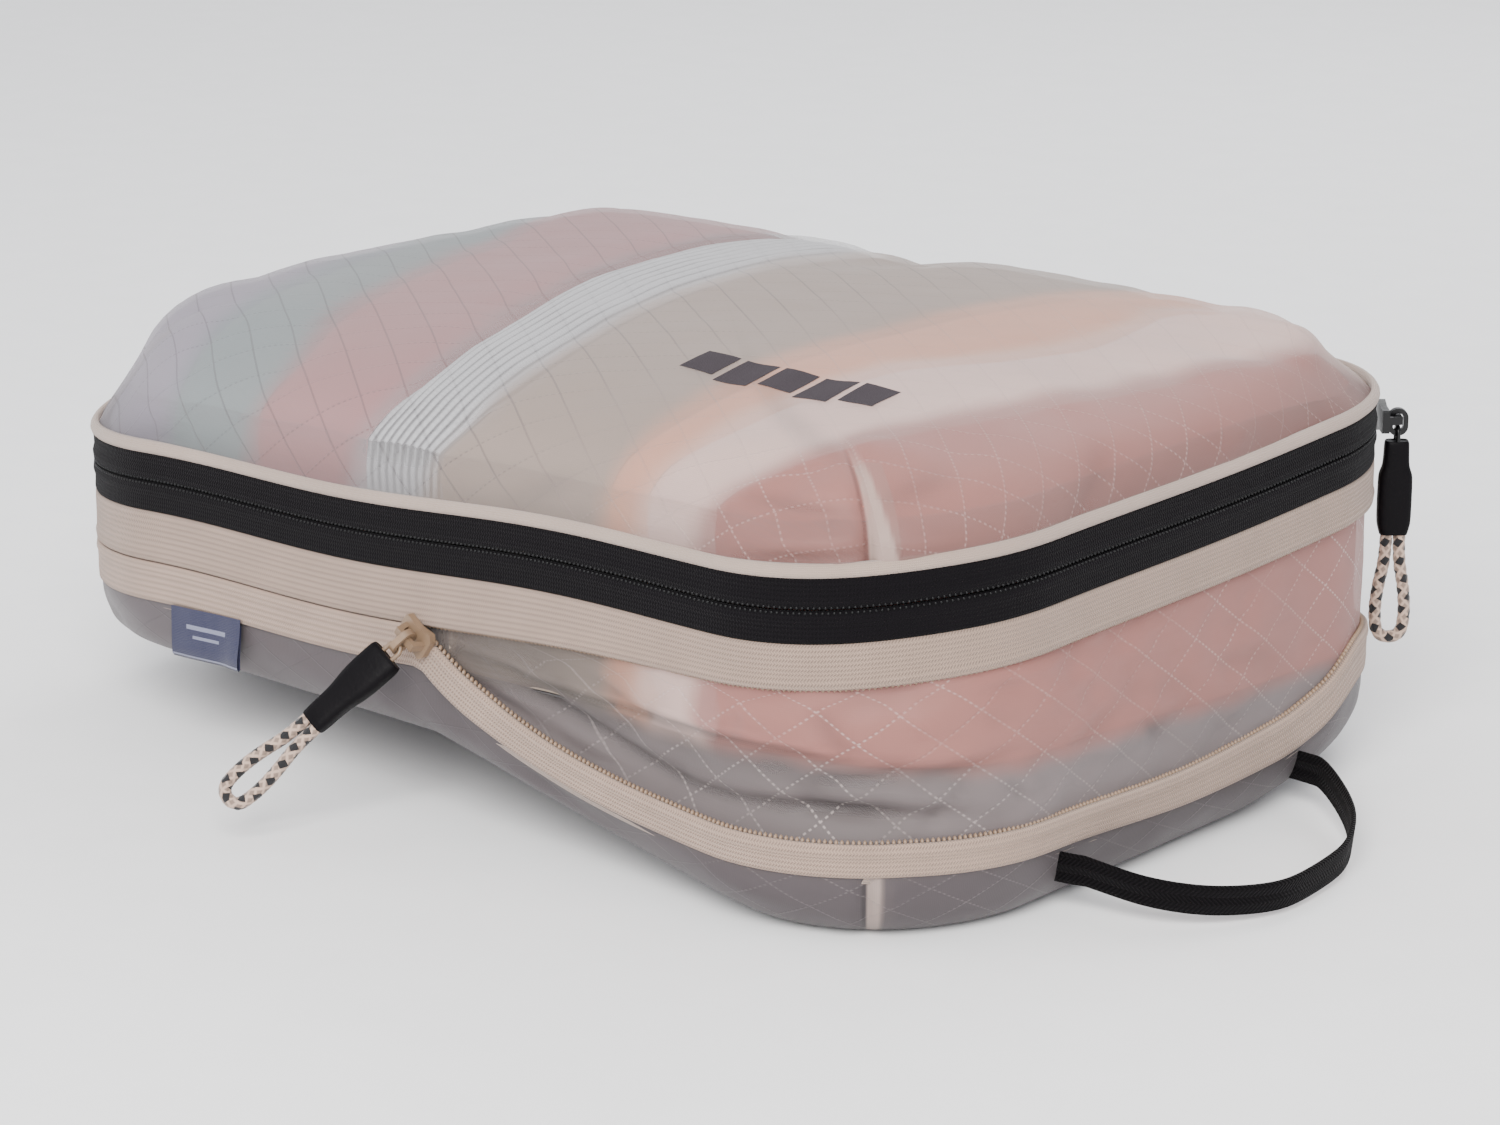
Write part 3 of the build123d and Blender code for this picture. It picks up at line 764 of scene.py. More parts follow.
def make_compression_zipper():
    whole = stations()
    upper = strip_section(upper_low, off_chain(-TAPE_HALF - 0.1), EDGE_OUTLINE)
    lower = strip_section(lower_bottom, lower_top, flipped(EDGE_OUTLINE))
    # the upper tape takes the darker copy of the cream: painted shade
    wall_piece("compression_zip_upper_tape", "middle_band", "cream_zip_tape", whole, upper, ring=True,
               look="upper_zip_tape")
    wall_piece("compression_zip_lower_tape", "base", "cream_zip_tape", whole, lower, ring=True)
    teeth = np.arange(0, PERIMETER - TOOTH, TOOTH)
    for name, body, path, height in (
            ("compression_zip_upper_coil", "middle_band", teeth, lambda s: upper_low(s) + 0.1),
            ("compression_zip_lower_coil", "base", teeth + TOOTH / 2, lambda s: lower_top(s) - 0.1)):
        coil_teeth(name, body, "cream_coil", path, height, -1.7, (0.6, 0.9, 1.2))
    outline = [(0, -3, -1.4), (0, -3, -2.2), (0, 0, -2.6), (0, 3, -2.2), (0, 3, -1.4)]
    for name, body, height in (("band_seam_binding", "middle_band", off_chain(-TAPE_HALF)),
                               ("lower_seam_binding", "base", lambda s: lower_bottom(s) + 1)):
        wall_piece(name, body, "cream_binding", whole, strip_section(height, height, outline), ring=True)


# ---- what shows through the fabric, and painted shade on it
TINTS = [(0.28, 0.25, 0.29), (0.215, 0.238, 0.245), (0.34, 0.185, 0.187), (0.37, 0.36, 0.37),
         (0.315, 0.24, 0.20), (0.545, 0.28, 0.195), (0.60, 0.41, 0.36), (0.31, 0.125, 0.105)]
GREY_TINT = (0.20, 0.16, 0.16)
SEAM_TINT = (0.56, 0.43, 0.37)
SHELL_TINT = (0.057, 0.045, 0.049, 1.0)
RIBBED = 3                    # place of the ribbed top, which lies right under the lid


def garment_tint(x, y, soft):
    """The colour of the garment behind a point, blurred over an edge, and how milky the fabric is."""
    x = x + 3.0 * ripple(x / 26, y / 34, 1.9, 2)
    shares = [smoothstep(-soft, soft, x - edge(y)) for edge in EDGE_LINES]
    tint = np.zeros((*np.shape(x), 4))
    for place, color in enumerate(TINTS):
        before = shares[place - 1] if place else 1
        share = before * (1 - (shares[place] if place < len(shares) else 0))
        milky = 0.5 if place == RIBBED else 1.0
        tint += share[..., None] * np.array([*color, milky])
    return tint


def darken(tint, factor):
    """Multiplies the colour and leaves the milkiness."""
    tint[..., :3] *= factor[..., None]


def paint_seams(tint, s, share):
    """The pale seam allowance behind the fabric, right of each dart, and painted shade along each dart's
    groove.
    """
    for dart in DARTS:
        wide = 2.5 + 6.0 * share
        shown = smoothstep(0, 0.25, share)
        edges = smoothstep(-0.2, 0.5, s - dart) * (1 - smoothstep(wide - 0.8, wide + 0.3, s - dart))
        tint[..., :3] += (edges * shown * 0.55)[..., None] * (np.array(SEAM_TINT) - tint[..., :3])
        # painted shade in the dart's groove, a little left of its middle
        darken(tint, 1 - 0.5 * shown * bell(s, dart - 0.7, 0.7))


def paint_tint(piece, tint, *last):
    """Stores the colours, one for each point; last is for a closing point in the middle."""
    layer = piece.data.attributes.new("tint", "FLOAT_COLOR", "POINT")
    colors = np.vstack([tint.reshape(-1, 4), *last])
    layer.data.foreach_set("color", colors.astype(np.float32).ravel())


def closing_fan(count, width, flip=False):
    """Triangles from the last point of each row to one more point in the middle."""
    ends = np.arange(count) * width + width - 1
    first, second = (ends, np.roll(ends, -1)) if flip else (np.roll(ends, -1), ends)
    return np.stack([first, np.full(count, count * width), second], -1).tolist()


# ---- lid
def make_lid():
    path = DARTED_PATH
    levels = np.concatenate([np.linspace(0, 1, 44)[:-1], np.linspace(1, 1.97, 34), [1.985, 1.996]])
    s, t = path[:, None], levels[None, :]
    points = lid_surface(s, t)
    count, width = points.shape[:2]
    quads, spots = grid_quads(count, width, wrap_rows=True)
    # UV: the plan, with the dome's surplus of length let out sideways
    x, y, nx, ny = dome_plan(np.append(path, path[0])[:, None], t)
    surplus = np.interp([1.0, *np.minimum(levels, 1)], DENSE_T, DOME_RUN - DOME_INSET(DENSE_T))
    extra = (surplus[0] - surplus[1:])[None, :]
    uv = points_of(x + nx * extra, y + ny * extra)[spots[..., 0], spots[..., 1]]
    everywhere = np.vstack([points.reshape(-1, 3), lid_surface(0.0, 2.0)])
    panel = make_piece("top_panel", "lid", "milky_ripstop", everywhere, quads, uv, closing_fan(count, width))
    tint = garment_tint(points[..., 0], points[..., 1], 6.0)
    over = points[..., 2] - seam_plane(points[..., 0], points[..., 1]) - TAPE_HALF
    # painted shade: darker low on the wall near the seam
    darken(tint, 0.55 + 0.45 * smoothstep(2, 22, over))
    # painted shade in the pinched creases beside the darts
    darken(tint, 1 - 0.42 * np.clip(-folds(s - FRONT_S, over, PINCHES) / 2.4, 0, 1))
    tint[..., 3] += (0.9 - tint[..., 3]) * (1 - smoothstep(4, 20, over)) * (tint[..., 3] < 0.9)
    paint_seams(tint, s, np.clip(1 - over / (DART_TOP - 4), 0, 1))
    paint_tint(panel, tint, [*TINTS[4], 1.0])
    outline = [(0, 0, -1.2), (0, 0, 0.1), (0.12, 0, 0.6), (0.35, 0, 0.95), (0.6, 0, 0.8), (0.85, 0, 0.2),
               (1, 0, -0.5), (1, 0, -1.5), (0.5, 0, -1.8)]
    piping = strip_section(off_chain(TAPE_HALF - 0.5), off_chain(TAPE_HALF + 3.4), outline)
    wall_piece("lid_edge_piping", "lid", "cream_binding", stations(), piping, ring=True)
    # strips of seam allowance right of each dart, a little under the lid's fabric
    for number, corner in enumerate(DARTS):
        across = corner + np.linspace(0.4, 8.5, 6)[:, None]
        strip = lid_surface(across, np.linspace(0.06, 0.62, 14)[None, :], lower=1.3)
        quads, spots = grid_quads(*strip.shape[:2])
        make_piece(f"top_corner_seam_{number}", "lid", "cream_binding", strip, quads, spots * [1.6, 2.5],
                   replaces=["top_corner_seams"])
    return panel


# ---- generic printed mark on the lid: five slanted bars
def make_print():
    points, quads, uvs = [], [], []
    for bar in range(5):
        across = np.linspace(0, 12.5, 5)[:, None] + bar * 15
        down = np.linspace(0, 19, 6)[None, :] * (1.0 if bar % 2 else 0.85)
        x = 48 + across + 0.18 * down
        y = -58 - down + 0 * across
        z = lid_height(x, y) + 0.15
        square, spots = grid_quads(*z.shape, flip=True)
        quads.append(square + bar * z.size)
        points.append(points_of(x, y, z).reshape(-1, 3))
        uvs.append(spots * [2.8, 3.2])
    make_piece("printed_mark", "lid", "milky_ripstop", np.vstack(points), np.vstack(quads), np.vstack(uvs),
               look="print")


# ---- lower half
SHELL_CREASES = [            # along the wall from the front's middle, height share, ...
    (-110, 0.2, -60, 0.7, 9, -1.4), (-30, 0.3, 10, 0.6, 9, 1.5), (30, 0.2, 70, 0.5, 8, -1.2),
    (105, 0.1, 150, 0.7, 8, 1.3), (190, 0.4, 240, 0.3, 9, -1.0), (-170, 0.3, -140, 0.8, 8, -1.3),
]


FOOT_INSET = 14.0             # how far the foot lies inside the wall, and the height it curves over
FOOT_CURVE = 17.0
SHELL_ROOM = 34.0             # the wall's unrolled height


def shell_surface(s, t, lower=0.0):
    """A point of the lower shell: t runs from its seam, 0, to the foot, 1, and the middle, 2."""
    s, t = np.broadcast_arrays(np.asarray(s, float), np.asarray(t, float))
    x0, y0, nx, ny = plan(s)
    top = lower_bottom(s) + 1.5
    foot = foot_height(x0 - FOOT_INSET * nx, y0 - FOOT_INSET * ny)
    tall = np.maximum(top - foot, 1)
    side = np.minimum(t, 1)
    share = 1 - side
    bend = 1 - np.minimum(share * tall / FOOT_CURVE, 1)
    inset = FOOT_INSET * (1 - np.sqrt(np.clip(1 - bend ** 2, 0, 1))) + 1.0
    slack = np.sin(np.pi * np.clip(share, 0, 1))
    wave = 0.9 * ripple(s / 26, side * 1.6, 8.3, 2) + folds(s - FRONT_S, side * 30, [
        (u0, v0 * 30, u1, v1 * 30, w, h) for u0, v0, u1, v1, w, h in SHELL_CREASES])
    wave = wave - 1.5 * bell(from_dart(s), 0, 1.6) + 0.8 * bell(from_dart(s), 7, 5)
    out = wave * slack - inset - lower * (t <= 1) + lean(s)
    rest = np.where(t > 1, np.clip(2 - t, 0, 1), 1)
    x, y = (x0 + nx * out) * rest, (y0 + ny * out) * rest
    under = foot_height(x, y) + 0.5 * np.clip(ripple(x / 40, y / 40, 2.2), 0, 1) * (rest < 1)
    return points_of(x, y, np.where(t <= 1, foot + tall * share, under + lower))


def make_lower_shell():
    path = DARTED_PATH
    wall_rows = 21
    levels = np.concatenate([np.linspace(0, 1, wall_rows + 1)[:-1], np.linspace(1, 1.96, 24)])
    points = shell_surface(path[:, None], levels[None, :])
    count, width = points.shape[:2]
    quads, spots = grid_quads(count, width, wrap_rows=True, flip=True)
    # UV: the wall unrolled, and the floor as it lies
    along = np.append(path, path[0] + PERIMETER)[:, None]
    flat_x, flat_y, _, _ = plan(along)
    rest = np.clip(2 - levels, 0, 1)
    walls = points_of(along, -SHELL_ROOM * np.minimum(levels, 1))
    floor = points_of(flat_x * rest, flat_y * rest)
    on_floor = (spots[..., 1].min(axis=1) >= wall_rows)[:, None, None]
    uv = np.where(on_floor, floor[spots[..., 0], spots[..., 1]], walls[spots[..., 0], spots[..., 1]])
    everywhere = np.vstack([points.reshape(-1, 3), shell_surface(0.0, 2.0)])
    shell = make_piece("lower_shell", "base", "milky_ripstop", everywhere, quads, uv,
                       closing_fan(count, width, flip=True), look="shell_ripstop")
    tint = np.broadcast_to(SHELL_TINT, (count, width, 4)).copy()
    darken(tint, 1 + 0.35 * smoothstep(-20, -120, points[..., 0]))
    paint_seams(tint, path[:, None], 0.35 * (levels[None, :] < 1))
    paint_tint(shell, tint, SHELL_TINT)
    # The floor and the wall round it come to 0.1296. The shell's declared area was set between that
    # and the mesh's own 0.1241, so it doesn't test the mesh.
    for number, corner in enumerate(DARTS):
        across = corner + np.linspace(0.4, 8, 5)[:, None]
        strip = shell_surface(across, np.linspace(0.1, 0.95, 9)[None, :], lower=1.2)
        quads, spots = grid_quads(*strip.shape[:2], flip=True)
        make_piece(f"lower_corner_seam_{number}", "base", "cream_binding", strip, quads, spots * [1.9, 3.0],
                   replaces=["lower_corner_seams"])


# ---- gusset
FOLD_LINE = smooth_curve([(OPEN_X, 60.5), (36, 57.5), (60, 55.5), (110, 56), (135, 56), (165, 52.5),
                          (184, 50)])
VALLEY_LINE = smooth_curve([(OPEN_X, 58), (60, 47), (83, 41), (107, 36.5), (140, 37), (184, 36)])
GUSSET_CREASES = [            # along the wall from the front's middle, and height
    (150, 46, 172, 48, 2.2, -2.6), (172, 48, 205, 50, 2.6, -2.2), (145, 38, 175, 37, 2.0, -2.4),
    (160, 43, 190, 40, 2.4, 1.6), (182, 34, 192, 45, 1.6, -1.6), (205, 44, 212, 38, 1.6, -1.5),
    (228, 52, 250, 60, 3.0, 1.4), (262, 47, 275, 40, 2.0, -1.3), (150, 66, 160, 52, 3.0, -1.6),
    (175, 68, 186, 58, 3.0, 1.4), (290, 60, 330, 50, 4.0, -1.4), (340, 70, 372, 62, 3.0, 1.5),
    (20, 52, 45, 46, 2.0, 1.4), (70, 62, 100, 50, 3.0, -1.2),
]


GUSSET_HEM = 4.0              # how far the gusset's edges go behind the tapes
GUSSET_DEPTH = 2.4            # how far it lies in from the wall


def gusset_section(s):
    """Rows of the gusset from the lower hem up, behind both tapes at its ends."""
    share = np.concatenate([np.linspace(0, 0.82, 26)[:-1], np.linspace(0.82, 1, 12)])[None, :]
    low, high = lower_top(s)[:, None] - GUSSET_HEM, upper_low(s)[:, None] + GUSSET_HEM
    z = low + (high - low) * share
    x, y, _, ny = [c[:, None] for c in plan(s)]
    room = 1 - 0.85 * smoothstep(25, 60, y) * (x > 100)      # the main pull travels past here
    opened = openness(s)[:, None] * room
    height = high - low
    swell = np.sin(np.pi * share) * (3.2 * smoothstep(14, 50, height)) * room
    front = smoothstep(0.2, 0.9, -ny)
    over = np.clip(z - FOLD_LINE(x), -30, 30)
    overhang = 4.4 * (1 / (1 + np.exp(-over)) - 1) * front * smoothstep(OPEN_X + 3, 26, x)
    valley = -3.4 * bell(z, VALLEY_LINE(x), 3.2) * front * smoothstep(25, 60, x)
    crumple = 1.3 * ripple(s[:, None] / 15, z / 7, 4.4, 2) + 1.0 * ripple(s[:, None] / 45, z / 22, 6.1)
    lines = folds(s[:, None] - FRONT_S, z, GUSSET_CREASES)
    loose = smoothstep(0, 0.14, share) * (1 - smoothstep(0.86, 1, share)) * opened
    return points_of(z, -GUSSET_DEPTH + swell + (overhang + valley + crumple + lines) * loose)


def make_gusset():
    path = stations(step=2.5)
    gusset = wall_piece("gusset", None, "milky_ripstop", path, gusset_section, closed=False, ring=True,
                        look="gusset_ripstop")
    x, y, z = np.array([v.co for v in gusset.data.vertices]).T / MM
    tint = garment_tint(x, y, 5.0)
    below = z - grey_top(x, y) - 1.5 * ripple(x / 12, y / 12, 3.1)
    grey = (1 - smoothstep(-3.5, 3.5, below)) * smoothstep(-6, 12, x - GREY_X)
    # painted shade: darker towards the left end by the slider, under the tape
    darken(tint, 0.28 + 0.72 * smoothstep(46, 122, x))
    shaded = np.array(GREY_TINT) * (0.62 + 0.38 * smoothstep(-125, -60, y))[:, None]
    tint += grey[:, None] * (np.hstack([shaded, np.ones((len(x), 1))]) - tint)
    # painted shade under the fold, in the valley and in the creases, with a painted highlight along the top
    # edges of the fold and the valley
    over, dip = z - FOLD_LINE(x), z - VALLEY_LINE(x)
    near = smoothstep(OPEN_X, 25, x) * (1 - smoothstep(135, 175, x)) * (y < -STRAIGHT_Y)
    fold = 0.6 * bell(over, -1.8, 1.6) + 0.3 * bell(over, -6, 4) - 0.3 * bell(over, 0.9, 1.2)
    fold += 0.5 * bell(dip, 0, 1.7) * smoothstep(30, 60, x) - 0.2 * bell(dip, 3, 1.5)
    s = np.repeat(path[:-1], len(x) // (len(path) - 1))
    # painted shade in the creases and crumples
    pinch_shade = np.clip(-folds(s - FRONT_S, z, GUSSET_CREASES) / 2.6 - 0.4 * ripple(s / 15, z / 7, 4.4), 0, 1)
    darken(tint, (1 - np.clip(fold, -0.3, 0.8) * near) * (1 - 0.4 * pinch_shade))
    paint_tint(gusset, tint)
    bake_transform(gusset)


# ---- garments
GARMENTS = [("lavender_shirt", "lavender_cloth", None), ("mint_shirt", "mint_cloth", None),
            ("pink_sweater", "pink_cloth", None), ("ribbed_top", "white_cloth", None),
            ("taupe_trousers", "taupe_cloth", None), ("peach_shirt", "peach_cloth", None),
            ("white_shirt", "white_cloth", "pale_cloth"), ("rose_sweater", "pink_cloth", "rose_cloth")]
CONTENT_IN = 5.6
LAYERS = 5                    # folded layers seen on a garment's side
LAYER_UV = 5.0                # cloth taken up between two rings of the side
GREY_X = 3.0                  # left end of the grey trousers


def half_width(y):
    """The content's half length at a place across the bag."""
    beyond = np.maximum(np.abs(y) - STRAIGHT_Y, 0)
    radius = CORNER - CONTENT_IN
    return STRAIGHT_X + np.sqrt(np.maximum(radius ** 2 - beyond ** 2, 0))


def grey_top(x, y):
    return 50 - 0.055 * (y + 118) + 1.5 * ripple(x / 40, y / 40, 7.7)


def over_foot(x, y):
    """How low the garments reach, more rounded at the wall."""
    return foot_height(x, y) + 4 + 6 * np.clip(1 - (inset_of(x, y) - CONTENT_IN) / 12, 0, 1)


def lid_tree(panel):
    """The lid's points for finding the nearest, with their normals."""
    tree = kdtree.KDTree(len(panel.data.vertices))
    for vertex in panel.data.vertices:
        tree.insert(vertex.co / MM, vertex.index)
    tree.balance()
    return tree, [vertex.normal.copy() for vertex in panel.data.vertices]


def kept_under(lid, points, gap=1.4):
    """Points moved in where they are less than a gap under the lid's fabric."""
    tree, normals = lid
    for point in points:
        near, index, _ = tree.find(point)
        over = (Vector(point) - near).dot(normals[index]) + gap
        if over > 0:
            point -= np.array(normals[index]) * over
    return points


def side_level(rim, base, normal, share, stiff):
    """One ring of a garment's side, a share of the way down: layers, and spare room taken up."""
    level = rim + (base - rim) * share
    squeeze = -0.7 * abs(math.cos(math.pi * LAYERS * share)) + 0.3
    level[:, :2] += normal * squeeze * (0.25 if stiff else 1)
    x, y, z = level.T
    over = z - seam_plane(x, y) - TAPE_HALF
    inset = inset_of(x, y)
    outer = inset < CONTENT_IN + 1.5
    spare = np.clip(inset - np.interp(over, DOME_HEIGHT(DENSE_T), DOME_INSET(DENSE_T)) - 1.6, 0, 2.2)
    spare = spare * outer * smoothstep(-3, 3, over) * min(1, 2.5 * share)
    # drawn in behind the fold of the opened zipper
    under_fold = (1 - smoothstep(0, 6, z - FOLD_LINE(x))) * (y < -HALF_Y + 30)
    spare = spare - 6.0 * under_fold * smoothstep(OPEN_X - 12, OPEN_X, x) * outer
    level[:, :2] += normal * spare[:, None]
    return level


def folded(lid, name, slot, look, left, right, bottom, top, ribs=0):
    """A folded garment between two edges: a rolled top over stacked sides."""
    rows, columns, rings = 44, 5 * ribs if ribs else 15, 9
    y = (HALF_Y - CONTENT_IN) * np.sin(np.linspace(-math.pi / 2, math.pi / 2, 4 * rows + 1))
    x_low = np.maximum(left(y), -half_width(y)) + 0.2
    x_high = np.minimum(right(y), half_width(y)) - 0.2
    wide = np.flatnonzero(x_high - x_low > 4)
    pick = wide[np.linspace(0, len(wide) - 1, rows).round().astype(int)]
    y, x_low, x_high = y[pick, None], x_low[pick, None], x_high[pick, None]
    t = np.linspace(0, 1, columns)[None, :]
    if not ribs:
        t = (1 - np.cos(math.pi * t)) / 2
    x = x_low + (x_high - x_low) * t
    y = y + 0 * x
    edge = np.minimum(x - x_low, x_high - x)
    roll = 5.0 * (1 - np.sqrt(1 - (1 - np.clip(edge / 8, 0, 1)) ** 2)) * smoothstep(6, 40, inset_of(x, y))
    z = top(x, y) - roll - 0.35 * (1 + ripple(x / 18, y / 30, len(name) * 1.7))
    if ribs:
        z = z + 0.5 * np.cos(TAU * ribs * t)
    low = np.minimum(bottom(x, y), z - 3)
    loop = [(0, j) for j in range(columns)] + [(i, columns - 1) for i in range(1, rows)]
    loop += [(rows - 1, j) for j in range(columns - 2, -1, -1)] + [(i, 0) for i in range(rows - 2, 0, -1)]
    index = np.array([i * columns + j for i, j in loop])
    rim, base = [points_of(x, y, h).reshape(-1, 3)[index] for h in (z, low)]
    ahead, behind = np.roll(rim, -1, axis=0), np.roll(rim, 1, axis=0)
    normal = points_of(ahead[:, 1] - behind[:, 1], behind[:, 0] - ahead[:, 0])
    normal /= np.linalg.norm(normal, axis=1, keepdims=True) + 1e-9
    sides = [kept_under(lid, side_level(rim, base, normal, ring / rings, ribs)) for ring in range(1, rings)]
    top_quads, spots = grid_quads(rows, columns, flip=True)
    width = 1000 if ribs else float(np.mean(x_high - x_low))
    uv = [points_of(t[0][spots[..., 1]] * width, y[:, 0][spots[..., 0]])]
    lid_side, under_side = [points_of(x, y, h).reshape(-1, 3) for h in (z, low)]
    points = [kept_under(lid, lid_side), *sides, under_side]
    starts = np.cumsum([0] + [len(p) for p in points])
    rims = [index] + [starts[k + 1] + np.arange(len(index)) for k in range(rings - 1)] + [starts[-2] + index]
    quads = [top_quads]
    rim_uv = points_of((t[0] * width)[index % columns], y[:, 0][index // columns])
    next_uv = np.roll(rim_uv, -1, axis=0)
    for k, (upper, lower) in enumerate(zip(rims, rims[1:])):
        quads.append(np.stack([upper, np.roll(upper, -1), np.roll(lower, -1), lower], -1))
        uv.append(np.stack([spot - [0, depth * LAYER_UV] for spot, depth in
                            ((rim_uv, k), (next_uv, k), (next_uv, k + 1), (rim_uv, k + 1))], -2))
    quads.append(top_quads[:, ::-1] + starts[-2])
    uv.append(uv[0][:, ::-1])
    piece = make_piece(name, "base", slot, np.vstack(points), np.vstack(quads), np.concatenate(uv), look=look)


def make_garments(lid):
    ends = [lambda y: -HALF_X + 0 * y] + EDGE_LINES + [lambda y: HALF_X + 0 * y]

    def under_lid(x, y):
        inside = inset_of(x, y)
        return lid_height(x, y) - 1.2 - 0.6 * np.clip(1 - (inside - CONTENT_IN) / 6, 0, 1)

    def over_grey(x, y):
        return np.where(x > GREY_X, grey_top(x, y) + 0.5, over_foot(x, y))

    for (name, slot, look), left, right in zip(GARMENTS, ends, ends[1:]):
        ribs = RIBS if name == "ribbed_top" else 0
        folded(lid, name, slot, look, left, right, over_grey, under_lid, ribs)
    folded(lid, "grey_trousers", "grey_cloth", None, lambda y: GREY_X + 0 * y, ends[-1], over_foot, grey_top)


# ---- side label
def make_label():
    (x0, y0, _), (x1, _, z1) = box_of("side_label")
    tilt = math.tan(math.radians(3))
    fold_down = 16
    around = [(0, -0.1), (6, -0.45), (12, -0.75), (15.2, -0.7), (16.2, 0.0), (15.6, 0.5), (12, 0.45),
              (2, 0.25)]
    across = np.linspace(0, x1 - x0 - 0.8, 14)[:, None]
    down, out = np.array(around, float).T[:, None, :]
    curl = 1.5 * smoothstep(22, 32, across) * smoothstep(2, 16, down)
    x = x0 + 0.4 + across + 0.02 * down
    y = y0 + 0.7 + 0 * x - 0.3 + out - curl - 0.3 * ripple(across / 9, down / 9, 1.2)
    z = z1 - 0.8 - down + across * tilt
    quads, spots = grid_quads(*x.shape)
    run = running(np.hypot(np.diff(down[0]), np.diff(out[0])))
    uv = points_of(across[:, 0][spots[..., 0]], fold_down - run[spots[..., 1]])
    label = make_piece("side_label", "base", "blue_label", points_of(x, y, z), quads, uv)


# ---- sliders, pulls and cords
def frame_matrix(origin, x_axis, z_axis):
    """A plane with its own axes, as a matrix from millimetres to metres."""
    x_axis, z_axis = Vector(x_axis).normalized(), Vector(z_axis).normalized()
    turned = Matrix((x_axis, z_axis.cross(x_axis), z_axis)).transposed().to_4x4()
    return Matrix.Translation(Vector(origin) * MM) @ turned @ Matrix.Scale(MM, 4)


CROWN_OUT = 6.2
GRIP_TOP = 7.0
GRIP_LENGTH = 29.5
CORD_D = 3.9
STRAND_RISE = 0.22            # how far the braid's strands stand out
CORD_HALF = [(2.0, 0.0), (2.0, 7.6), (3.9, 16.6), (4.7, 25.4), (3.6, 33.0)]
SLIDER_TURN = math.radians(43)
MAIN_OUT = Vector((math.cos(SLIDER_TURN), math.sin(SLIDER_TURN), 0))
MAIN_SPOT = Vector((STRAIGHT_X, STRAIGHT_Y, 0)) + MAIN_OUT * (CORNER + CROWN_OUT)
MAIN_SPOT.z = CHAIN_Z + RISE_X * MAIN_SPOT.x + RISE_Y * MAIN_SPOT.y
SIDE_SPOT = Vector((4, -HALF_Y - CROWN_OUT, 60))
SIDE_UP = Vector((0.463, 0.597, 0.657)).normalized()
SIDE_ALONG = Vector((SIDE_UP.z, 0, -SIDE_UP.x)).normalized()
MAIN_PLANE = frame_matrix(MAIN_SPOT, MAIN_OUT, (0, 0, 1))
SIDE_PLANE = frame_matrix(SIDE_SPOT, SIDE_ALONG.cross(SIDE_UP), SIDE_UP)
# sleeves of the pulls, as down, wide and thick
MAIN_GRIP = [(0, 6.8, 4.4), (0.4, 7.5, 5.2), (2, 7.6, 5.5), (7, 7.9, 5.8), (8.5, 8.5, 6.0), (10.5, 10.2, 6.5),
             (12, 10.5, 6.6), (25.5, 10.6, 6.6), (27, 9.8, 6.3), (28.8, 8.9, 6.0), (29.5, 8.4, 5.2)]
COMPRESSION_GRIP = [(0, 10.6, 4.8), (0.5, 11.3, 5.9), (2, 11.6, 6.5), (8, 11.5, 6.8), (12, 11.1, 6.6),
                    (15, 10.2, 6.4), (18, 8.9, 6.2), (22, 8.5, 6.1), (28, 8.4, 6.0), (29.1, 8.1, 5.6),
                    (29.5, 7.6, 5.0)]


def make_grip(prefix, plane, turn, shape):
    """The moulded sleeve between the slider's link and the cord."""
    turns = np.linspace(0, TAU, 24, endpoint=False)
    squareness = 0.55
    c, s = [np.sign(part) * np.abs(part) ** squareness for part in (np.cos(turns), np.sin(turns))]
    down, wide, thick = [column[:, None] for column in np.array(shape, float).T]
    flat, broad = thick / 2 * c, wide / 2 * s
    points = points_of(flat * math.cos(turn) + broad * math.sin(turn),
                       broad * math.cos(turn) - flat * math.sin(turn), -GRIP_TOP - down)
    points = np.array([(plane @ Vector(p)) / MM for p in points.reshape(-1, 3)])
    quads, spots = grid_quads(len(shape), len(turns), wrap_columns=True, flip=True)
    caps = [face[::-1] for face in end_caps(len(turns), len(shape))]
    grip = make_piece(f"{prefix}_pull_grip", f"{prefix}_pull", "black_grip", points, quads,
                      spots * [2.5, 1.4], caps)
    rounding = grip.modifiers.new("rounding", "SUBSURF")
    rounding.levels = rounding.render_levels = 1


def cord_points(prefix, plane, turn):
    """Points along the cord's own smooth line, read from a NURBS curve."""
    route = CORD_HALF + [(-side, down) for side, down in reversed(CORD_HALF)]
    curve = bpy.data.curves.new(f"{prefix}_route", "CURVE")
    curve.dimensions = "3D"
    curve.resolution_u = 16
    spline = curve.splines.new("NURBS")
    spline.points.add(len(route) - 1)
    for point, (side, down) in zip(spline.points, route):
        local = Vector((side * math.sin(turn), side * math.cos(turn), -GRIP_TOP - GRIP_LENGTH - down))
        point.co = (*(plane @ local), 1)
    spline.order_u = 3
    spline.use_endpoint_u = True
    holder = bpy.data.objects.new(f"{prefix}_route", curve)
    line = bpy.data.meshes.new_from_object(holder)
    points = [v.co.copy() for v in line.vertices]
    bpy.data.objects.remove(holder)
    bpy.data.meshes.remove(line)
    return points


